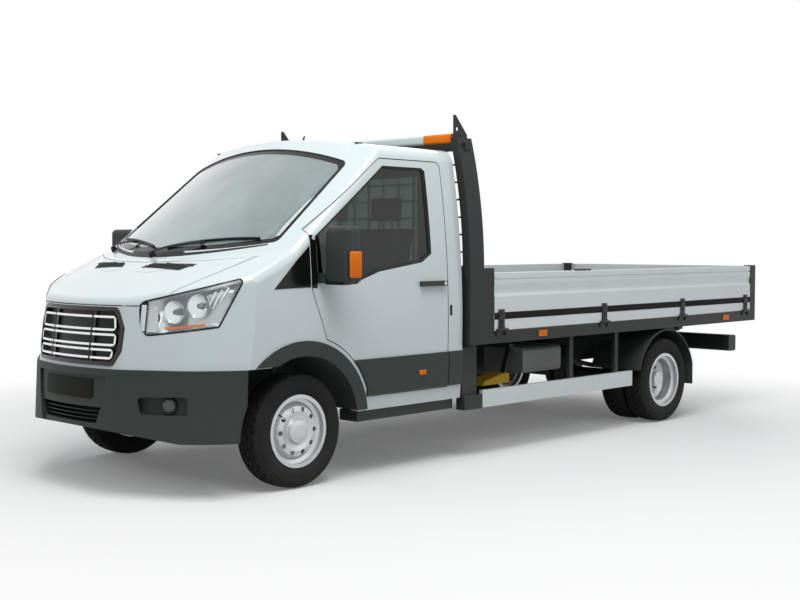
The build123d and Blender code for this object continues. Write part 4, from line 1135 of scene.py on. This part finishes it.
def screen_place(across, up, lift, node="cab_glass"):
    """A place over the windscreen: across it, up its slope, and off the glass."""
    return on_panel(node, over_foot(across, up), -screen_out)[0] + screen_out * lift


def edge_height(across, edge):
    """Height of a shallow arc up the slope, by its half width, side height and middle height."""
    half, side_height, middle_height = edge
    return middle_height + (side_height - middle_height) * (across / half) ** 2


print("windscreen foot in the middle:", round(screen_place(0, low_edge[2] + 0.05, 0).z, 3))


# %% Cowl
cowl_half, cowl_margins, cowl_taper = 0.8, (0.003, 0.03, 0.055), 0.55
cowl_bm = bmesh.new()
cowl_rows = []
for margin in cowl_margins:
    row = []
    for across in steps_between(-cowl_half, cowl_half, 33):
        drop = margin * (1 - cowl_taper * (across / cowl_half) ** 2)
        row.append(cowl_bm.verts.new(over_foot(across, edge_height(across, low_edge) - drop)))
    cowl_rows.append([cowl_bm.edges.new(pair) for pair in zip(row, row[1:])])
for first, second in zip(cowl_rows, cowl_rows[1:]):
    bmesh.ops.bridge_loops(cowl_bm, edges=first + second)
for vert in cowl_bm.verts:
    hits = [panel_tree(node).ray_cast(vert.co, -screen_out)[0] for node in ("nose", "bonnet", "cab_glass")]
    vert.co = next(hit for hit in hits if hit is not None) + screen_out * 0.0025
thicken(cowl_bm, screen_out * -0.0035)
finish_piece("cowl", cowl_bm, plastic_black, "chassis")


# %% Wipers
# pivot, knee and the blade's two ends: across, up the slope
wiper_table = [
    {"name": "near", "pivot": (0.03, 0.035), "knee": (0.36, 0.185),
     "blade": ((0.08, 0.125), (0.72, 0.335))},
    {"name": "far", "pivot": (-0.66, 0.19), "knee": (-0.38, 0.2),
     "blade": ((-0.66, 0.31), (-0.06, 0.13))}]
rubber_section = [
    (-0.0025, -0.012), (0.0025, -0.012), (0.0055, 0.0), (0.0055, 0.004), (-0.0055, 0.004), (-0.0055, 0)]
clip_half = Vector((0.016, 0.022, 0.008))
arm_section = [(-0.008, -0.003), (0.008, -0.003), (0.006, 0.004), (-0.006, 0.004)]


def over_screen(across, up, lift):
    """A place over the glass, or over the cowl where the glass ends."""
    node = "cab_glass" if up > edge_height(across, low_edge) + 0.03 else "nose"
    return screen_place(across, up, lift, node)


for wiper in wiper_table:
    wiper_bm = bmesh.new()
    (start_y, start_u), (end_y, end_u) = wiper["blade"]
    blade = [
        screen_place(start_y + (end_y - start_y) * t, start_u + (end_u - start_u) * t, 0.0125)
        for t in steps_between(0, 1, 9)]
    add_sweep(wiper_bm, blade, rubber_section, screen_out)
    pivot = over_screen(*wiper["pivot"], 0.0)
    knee = over_screen(*wiper["knee"], 0.021)
    rise = pivot + screen_out * 0.03
    add_turned(wiper_bm, pivot, screen_out, [
        (-0.01, 0.0), (-0.01, 0.022), (0.018, 0.02), (0.032, 0.014), (0.036, 0.0)], 24)
    arm = [rise, rise.lerp(knee, 0.3) + screen_out * 0.014, rise.lerp(knee, 0.7) + screen_out * 0.012, knee]
    add_sweep(wiper_bm, arm, arm_section, screen_out)
    add_box(wiper_bm, knee - clip_half, knee + clip_half, 0.004)
    finish_piece(f"wiper_{wiper['name']}", wiper_bm, plastic_black, "chassis")


# %% [markdown]
# ## Glass edges
# Car glass is never bare at its edge: the windscreen has a printed black border and each door window sits
# in a black seal. The border is a ring laid on the glass, the seal a section carried round the window's
# outline. Both close the step between glass and panel that the solids leave.

# %% Windscreen and rear window
# The windscreen leans back under an open sky and looks pale from outside, while upright windows look dark.
# Its pale base colour, where light is not transmitted, is a painted sky reflection.
between_panes = ahead(-1.2)


def in_windscreen(face):
    """Whether a face of the cab's glass belongs to the windscreen."""
    return face.calc_center_median().x > between_panes


finish_piece(
    "windscreen", node_sheet("cab_glass", in_windscreen), glass_painted_sky_reflection, "chassis", ["cab_glass"])
finish_piece(
    "rear_window", node_sheet("cab_glass", lambda face: not in_windscreen(face)), glass_tinted, "chassis",
    ["cab_glass"])


# %% Windscreen border
corner_in, corner_up = 0.03, 0.04


def screen_loop(inset_side, inset_low, inset_top, count=25):
    """A loop round the windscreen, in from its edges: across, up the slope."""
    def half(up):
        rise = (up - low_edge[1]) / (top_edge[1] - low_edge[1])
        return low_edge[0] + (top_edge[0] - low_edge[0]) * rise - inset_side

    low_half, top_half = half(low_edge[1]) - corner_in, half(top_edge[1]) - corner_in
    low = [(a, edge_height(a, low_edge) + inset_low) for a in steps_between(-low_half, low_half, count)]
    top = [(a, edge_height(a, top_edge) - inset_top) for a in steps_between(top_half, -top_half, count)]
    flank_up = steps_between(low[-1][1] + corner_up, top[0][1] - corner_up, 11)
    right = [(half(up), up) for up in flank_up]
    left = [(-half(up), up) for up in reversed(flank_up)]
    return low + right + top + left


def ring_on_screen(outer, inner, lift, thickness):
    """A flat ring between two loops of equal length, laid on the windscreen."""
    bm = bmesh.new()
    loops = []
    for loop in (outer, inner):
        verts = [bm.verts.new(screen_place(across, up, lift)) for across, up in loop]
        loops += [bm.edges.new(pair) for pair in zip(verts, verts[1:] + verts[:1])]
    bmesh.ops.bridge_loops(bm, edges=loops)
    thicken(bm, screen_out * -thickness)
    return bm


border_outer, border_inner = screen_loop(0.004, 0.004, 0.004), screen_loop(0.03, 0.055, 0.045)
border_bm = ring_on_screen(border_outer, border_inner, 0.0012, 0.001)
finish_piece("windscreen_border", border_bm, plastic_gloss, "chassis")


# %% Door window seals
def outward_sheet(node, side, lowest=0.0):
    """A merged copy of a node with only the faces that look to one side, down to a height."""
    def keep(face):
        return face.normal.y * side >= 0.5 and face.calc_center_median().z >= lowest

    return node_sheet(node, keep)


def turned_inwards(chain, side):
    """The chain in the order that puts a section's sideways direction inside the outline."""
    area = sum(here.x * there.z - there.x * here.z for here, there in zip(chain, chain[1:] + chain[:1]))
    return chain[::-1] if area * side > 0 else chain


seal_section = [(-0.004, -0.003), (0.02, -0.003), (0.02, 0.004), (0.004, 0.0135), (-0.004, 0.0125)]
for side_name, side in both_sides:
    glass_bm = outward_sheet(f"door_glass_{side_name}", side)
    seal_bm = bmesh.new()
    for chain in edge_chains(glass_bm):
        add_sweep(seal_bm, turned_inwards(chain, side), seal_section, (0, side, 0), True)
    glass_bm.free()
    finish_piece(f"window_seal_{side_name}", seal_bm, plastic_gloss, f"door_{side_name}")


# %% Dark panes ahead of the doors
pane_lowest = 1.15
sail_front, sail_seen, sail_back = -0.0695, -0.095, -0.116
sail_low, sail_top = 1.2, 1.52


def skin(node, d, z, side):
    """How far out a node's side reaches at a place."""
    return abs(on_panel(node, (ahead(d), side * 2, z), (0, -side, 0))[0].y)


for side_name, side in both_sides:
    pane_bm = outward_sheet("body_trim", side, pane_lowest)
    bmesh.ops.translate(pane_bm, vec=(0, side * 0.0002, 0), verts=pane_bm.verts[:])
    thicken(pane_bm, (0, side * 0.0013, 0))
    finish_piece(f"corner_pane_{side_name}", pane_bm, plastic_gloss, "chassis")
    sail_bm = bmesh.new()
    sail_rows = []
    for z in steps_between(sail_low, sail_top, 9):
        out_y = side * (skin(f"door_{side_name}", sail_seen, z, side) + 0.0015)
        row = [sail_bm.verts.new((ahead(d), out_y, z)) for d in (sail_front, sail_back)]
        sail_rows.append(sail_bm.edges.new(row))
    for first, second in zip(sail_rows, sail_rows[1:]):
        bmesh.ops.bridge_loops(sail_bm, edges=[first, second])
    thicken(sail_bm, (0, -side * 0.0013, 0))
    finish_piece(f"door_sail_{side_name}", sail_bm, plastic_gloss, f"door_{side_name}")


# %% [markdown]
# ## Mirrors, markers and aerial
# Each mirror carries an amber repeater on its outer side and a glass at its back. A small amber marker sits
# in the dark door cladding, a lock slot in the pillar behind it, and a stub aerial stands on the roof.
# These are rounded boxes and turned shapes, seated on their panels by rays.

# %% Mirrors and markers
def side_box(bm, run, across, height, side, radius, steps=3):
    """A rounded box given by its reach along, across and up, on either side of the truck."""
    near, far = sorted((side * across[0], side * across[1]))
    add_box(bm, (ahead(min(run)), near, height[0]), (ahead(max(run)), far, height[1]), radius, steps)


# each piece: name, finish, slot, and its boxes by reach along, across and up, radius and steps
mirror_pieces = [
    ("repeater", lens_amber, "amber_lens", [((-0.236, -0.136), (1.236, 1.264), (1.262, 1.422), 0.0125, 3)]),
    ("mirror_bezel", plastic_black, "plastic_dark", [
        ((-0.241, -0.131), (1.235, 1.2575), (1.257, 1.427), 0.011, 3),
        ((-0.249, -0.24), (1.062, 1.238), (1.245, 1.552), 0.004, 3),
        ((-0.2, -0.128), (1.05, 1.2), (1.2215, 1.232), 0.004, 3)]),
    ("mirror_glass", mirror_silver, "chrome_trim", [
        ((-0.2505, -0.248), (1.07, 1.23), (1.355, 1.544), 0.001, 1),
        ((-0.2505, -0.248), (1.07, 1.23), (1.253, 1.343), 0.001, 1)])]
for side_name, side in both_sides:
    door_body = f"door_{side_name}"
    for piece_name, finish, slot, boxes in mirror_pieces:
        mirror_bm = bmesh.new()
        for run, across, height, radius, steps in boxes:
            side_box(mirror_bm, run, across, height, side, radius, steps)
        finish_piece(f"{piece_name}_{side_name}", mirror_bm, finish, door_body)
    marker_bm = bmesh.new()
    clad = skin(f"door_trim_{side_name}", -1.03, 0.624, side)
    side_box(marker_bm, (-1.062, -0.998), (clad - 0.004, clad + 0.009), (0.608, 0.64), side, 0.0055)
    finish_piece(f"door_marker_{side_name}", marker_bm, lens_amber, door_body)
    slot_bm = bmesh.new()
    pillar = skin(f"cab_side_{side_name}", -1.315, 1.02, side)
    side_box(slot_bm, (-1.326, -1.304), (pillar - 0.004, pillar + 0.003), (0.985, 1.057), side, 0.003)
    finish_piece(f"pillar_slot_{side_name}", slot_bm, plastic_black, "chassis")
    lock_bm = bmesh.new()
    handle_out = skin(f"door_trim_{side_name}", -1.24, 1.205, side)
    add_turned(lock_bm, (ahead(-1.238), side * handle_out, 1.205), (0, side, 0), [
        (-0.004, 0.0), (-0.004, 0.0125), (0.001, 0.0125), (0.0025, 0.0105), (0.0025, 0.005),
        (0.001, 0.0045), (0.001, 0.0)], 24)
    finish_piece(f"door_lock_{side_name}", lock_bm, steel_ground, door_body)


# %% Aerial and roof plugs
roof_bm = bmesh.new()
foot = on_panel("cab_roof", (ahead(-0.88), 0, 3), (0, 0, -1))[0]
add_turned(roof_bm, foot, (0, 0, 1), [
    (-0.004, 0.0), (-0.004, 0.024), (0.006, 0.022), (0.014, 0.012), (0.016, 0.0)], 24)
add_post(roof_bm, foot + Vector((0, 0, 0.008)), foot + Vector((-0.02, 0, 0.052)), 0.008, 0.0055)
for _, side in both_sides:
    seat = on_panel("cab_roof", (ahead(-0.73), side * 0.72, 3), (0, 0, -1))[0]
    add_box(roof_bm, seat - Vector((0.03, 0.012, 0.006)), seat + Vector((0.03, 0.012, 0.007)), 0.004)
finish_piece("roof_aerial", roof_bm, plastic_black, "chassis")


# %% [markdown]
# ## Dropside fittings
# Black hinge straps are bolted to the lower plank of each dropside and of the tailgate, a rubber strip runs
# between them, and a catch sits on the top edge of the sides. All three boards have the same section, so
# each piece is given as along the board, out from its face and up, and one small function per board turns
# that into a place.

# %% Hinge straps and rubber strips
hinge_places = (-1.79, -3.04, -4.18, -5.25)
tail_hinges = (-0.76, 0.0, 0.76)
strap_half = 0.0315
# out from the face and up: the strap, and its hem over the pin
strap_out, strap_up = (-0.0075, 0.0088), (0.8735, 1.0115)
hem_out, hem_up = (-0.003, 0.0126), (0.8692, 0.885)
bolt_out, bolt_heights = 0.0085, (0.93, 0.985)
pin_out, pin_height = 0.012, 0.868
knuckle_radius, knuckle_half = 0.0097, 0.0304
strip_out, strip_up = (-0.006, 0.0012), (0.941, 0.989)
rib_out, rib_heights, rib_half = (0.0, 0.0025), (0.953, 0.965, 0.977), 0.002
end_gap = 0.006
board_face = 1.05
tail_low, tail_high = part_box("tailgate")
tail_face = tail_low.x + 0.021


def side_board(side):
    """Turns along, out and up on a dropside into a place."""
    return lambda along, out, up: Vector((ahead(along), side * (board_face + out), up))


def tail_board(along, out, up):
    """Turns along, out and up on the tailgate into a place."""
    return Vector((tail_face - out, along, up))


def board_box(bm, board, along, out, up, radius):
    """A rounded box on a board."""
    first, second = board(along[0], out[0], up[0]), board(along[1], out[1], up[1])
    low = [min(pair) for pair in zip(first, second)]
    high = [max(pair) for pair in zip(first, second)]
    add_box(bm, low, high, radius, 2)


def free_runs(start, end, stops):
    """Stretches between start and end that leave each stop free."""
    half = strap_half + 0.001
    marks = [start] + [mark for stop in sorted(stops) for mark in (stop - half, stop + half)] + [end]
    return [(a, b) for a, b in zip(marks[::2], marks[1::2]) if b - a > 0.02]


side_low, side_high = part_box("dropside_left")
side_ends = (side_low.x - axle_x, side_high.x - axle_x)
boards = [
    ("dropside_left", side_board(1), hinge_places, side_ends),
    ("dropside_right", side_board(-1), hinge_places, side_ends),
    ("tailgate", tail_board, tail_hinges, (tail_low.y, tail_high.y))]
for board_name, board, hinges, (board_start, board_end) in boards:
    strap_bm = bmesh.new()
    for along in hinges:
        ends = (along - strap_half, along + strap_half)
        board_box(strap_bm, board, ends, strap_out, strap_up, 0.004)
        board_box(strap_bm, board, ends, hem_out, hem_up, 0.0)
        pin = board(along, pin_out, pin_height)
        across = (board(along + knuckle_half, pin_out, pin_height) - pin).normalized()
        add_turned(strap_bm, pin, across, [
            (-knuckle_half, 0.0), (-knuckle_half, knuckle_radius), (knuckle_half, knuckle_radius),
            (knuckle_half, 0.0)], 24)
        for up in bolt_heights:
            seat = board(along, bolt_out, up)
            out = (board(along, 0.1, up) - seat).normalized()
            add_post(strap_bm, seat - out * 0.001, seat + out * 0.0035, 0.0105, 0.0095)
            add_post(strap_bm, seat, seat + out * 0.009, 0.0078, 0.007, 6)
    finish_piece(f"straps_{board_name}", strap_bm, paint_black, board_name, sharp=28)
    strip_bm = bmesh.new()
    for run in free_runs(board_start + end_gap, board_end - end_gap, hinges):
        board_box(strip_bm, board, run, strip_out, strip_up, 0.0025)
        for up in rib_heights:
            board_box(strip_bm, board, run, rib_out, (up - rib_half, up + rib_half), 0.0)
    finish_piece(f"strip_{board_name}", strip_bm, rubber_black, board_name)


# %% Catches on the sides
catch_ends = (-2.87, -2.68)
for side_name, side in both_sides:
    catch_bm = bmesh.new()
    catch_up = (side_high.z - 0.004, side_high.z + 0.012)
    board_box(catch_bm, side_board(side), catch_ends, (-0.03, -0.004), catch_up, 0.004)
    finish_piece(f"side_catch_{side_name}", catch_bm, paint_black, f"dropside_{side_name}")


# %% [markdown]
# ## Rear lamps
# Behind, each lamp unit shows an amber, a red and a clear window in a dark housing. Each window is a
# rounded box that stands a little proud, with ribs across it as pressed lenses have.

# %% Rear lamps
rear_low, rear_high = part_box("rear_lamps")
rear_face = rear_low.x
lens_proud, lens_seat, lens_margin = 0.011, 0.002, 0.008
rib_proud, rib_margin, rib_radius = 0.0105, 0.016, 0.0022
# across from, to, finish, slot
lamp_windows = [
    (0.862, 0.942, lens_amber, "amber_lens"), (0.762, 0.852, lens_red, "red_lens"),
    (0.658, 0.752, lens_clear, "lamp_clear")]
for side_name, side in both_sides:
    for number, (start, end, lens, lens_slot) in enumerate(lamp_windows):
        window_bm = bmesh.new()
        near, far = sorted((side * start, side * end))
        low = (rear_face - lens_proud, near, rear_low.z + lens_margin)
        high = (rear_face + lens_seat, far, rear_high.z - lens_margin)
        add_box(window_bm, low, high, 0.005)
        for y in steps_between(near + 0.014, far - 0.014, 6):
            rib_low = (rear_face - rib_proud, y, rear_low.z + rib_margin)
            rib_high = (rear_face - rib_proud, y, rear_high.z - rib_margin)
            add_post(window_bm, rib_low, rib_high, rib_radius, sides=8)
        finish_piece(f"rear_window_{number}_{side_name}", window_bm, lens, "chassis")


# %% [markdown]
# ## Seats
# Seats are foam under cloth: the cushion is crowned, its sides pull in between the corners, and sewn
# channels run across it. Each pad starts as a cube that is cut into a grid; then every vertex is moved by a
# small rule for the crown, the pull at the sides and the channels, and a subdivision surface smooths the
# result. A cloth simulation could do the same, but these pads are seen only through glass, so the rule is
# enough and always gives one shape.

# %% Padded seats
seat_cloth = make_finish(
    "seat_cloth", (0.05, 0.054, 0.058), (0.075, 0.08, 0.085), 0.85, grain=260, bump=0.6, sheen_weight=0.3)


seam_width, side_pull = 0.07, 0.035


def pad_shape(low, high, crown, channels, lean):
    """A crowned pad between two corners; channels say where, from -1 to 1, its sewn lines run."""
    low, high = Vector(low), Vector(high)
    middle, half = (low + high) / 2, (high - low) / 2
    long_axis, thin_axis = (2, 0) if half.z > half.x else (0, 2)
    bm = bmesh.new()
    bmesh.ops.create_cube(bm, size=2.0)
    bmesh.ops.subdivide_edges(bm, edges=bm.edges[:], cuts=11, use_grid_fill=True)
    for vert in bm.verts:
        spot = vert.co.copy()
        along, across, depth = spot[long_axis], spot.y, spot[thin_axis]
        bulge = (1 - along ** 4) * (1 - across ** 4)
        seam = sum(math.exp(-((along - channel) / seam_width) ** 2) for channel in channels)
        place = Vector((spot.x * half.x, spot.y * half.y, spot.z * half.z))
        place.y *= 1 - side_pull * (1 - along ** 2)
        place[thin_axis] += depth * crown * (bulge - 0.6 - 0.4 * seam * (1 - across ** 4))
        place.x += lean * place.z
        vert.co = middle + place
    return bm


# seat middles and widths across the cab
seat_table = [(0.43, 0.48), (-0.11, 0.41), (-0.56, 0.41)]
back_share, headrest_half = 0.96, 0.125
for number, (seat_y, seat_width) in enumerate(seat_table):
    half = seat_width / 2
    # name, half width, reach along, reach up, crown, channels, lean, fill
    pads = [
        ("seat_cushion", half, (-1.1, -0.61), (0.885, 1.005), 0.024, (-0.45, 0.05, 0.5), 0.0, 0.7),
        ("seat_back", half * back_share, (-1.275, -1.155), (1.0, 1.57), 0.024, (-0.5, 0.1, 0.6), -0.2, 0.7),
        ("headrest", headrest_half, (-1.315, -1.235), (1.625, 1.785), 0.014, (0.0,), -0.1, 0.8)]
    for name, pad_half, run, height, crown, channels, lean, fill in pads:
        low = (ahead(run[0]), seat_y - pad_half, height[0])
        high = (ahead(run[1]), seat_y + pad_half, height[1])
        pad_bm = pad_shape(low, high, crown, channels, lean)
        pad = finish_piece(
            f"{name}_{number}", pad_bm, seat_cloth, "chassis", ["seats"], sharp=180)
        rounding = pad.modifiers.new("rounding", "SUBSURF")
        rounding.levels = 1
        rounding.render_levels = 1
    frame_bm = bmesh.new()
    side_box(
        frame_bm, (-1.075, -0.665), (seat_y - half + 0.03, seat_y + half - 0.03), (0.582, 0.885), 1, 0.02)
    for y in (seat_y - 0.06, seat_y + 0.06):
        add_post(frame_bm, (ahead(-1.262), y, 1.54), (ahead(-1.275), y, 1.66), 0.006)
    finish_piece(f"seat_frame_{number}", frame_bm, cabin_grey, "chassis", ["seats"])
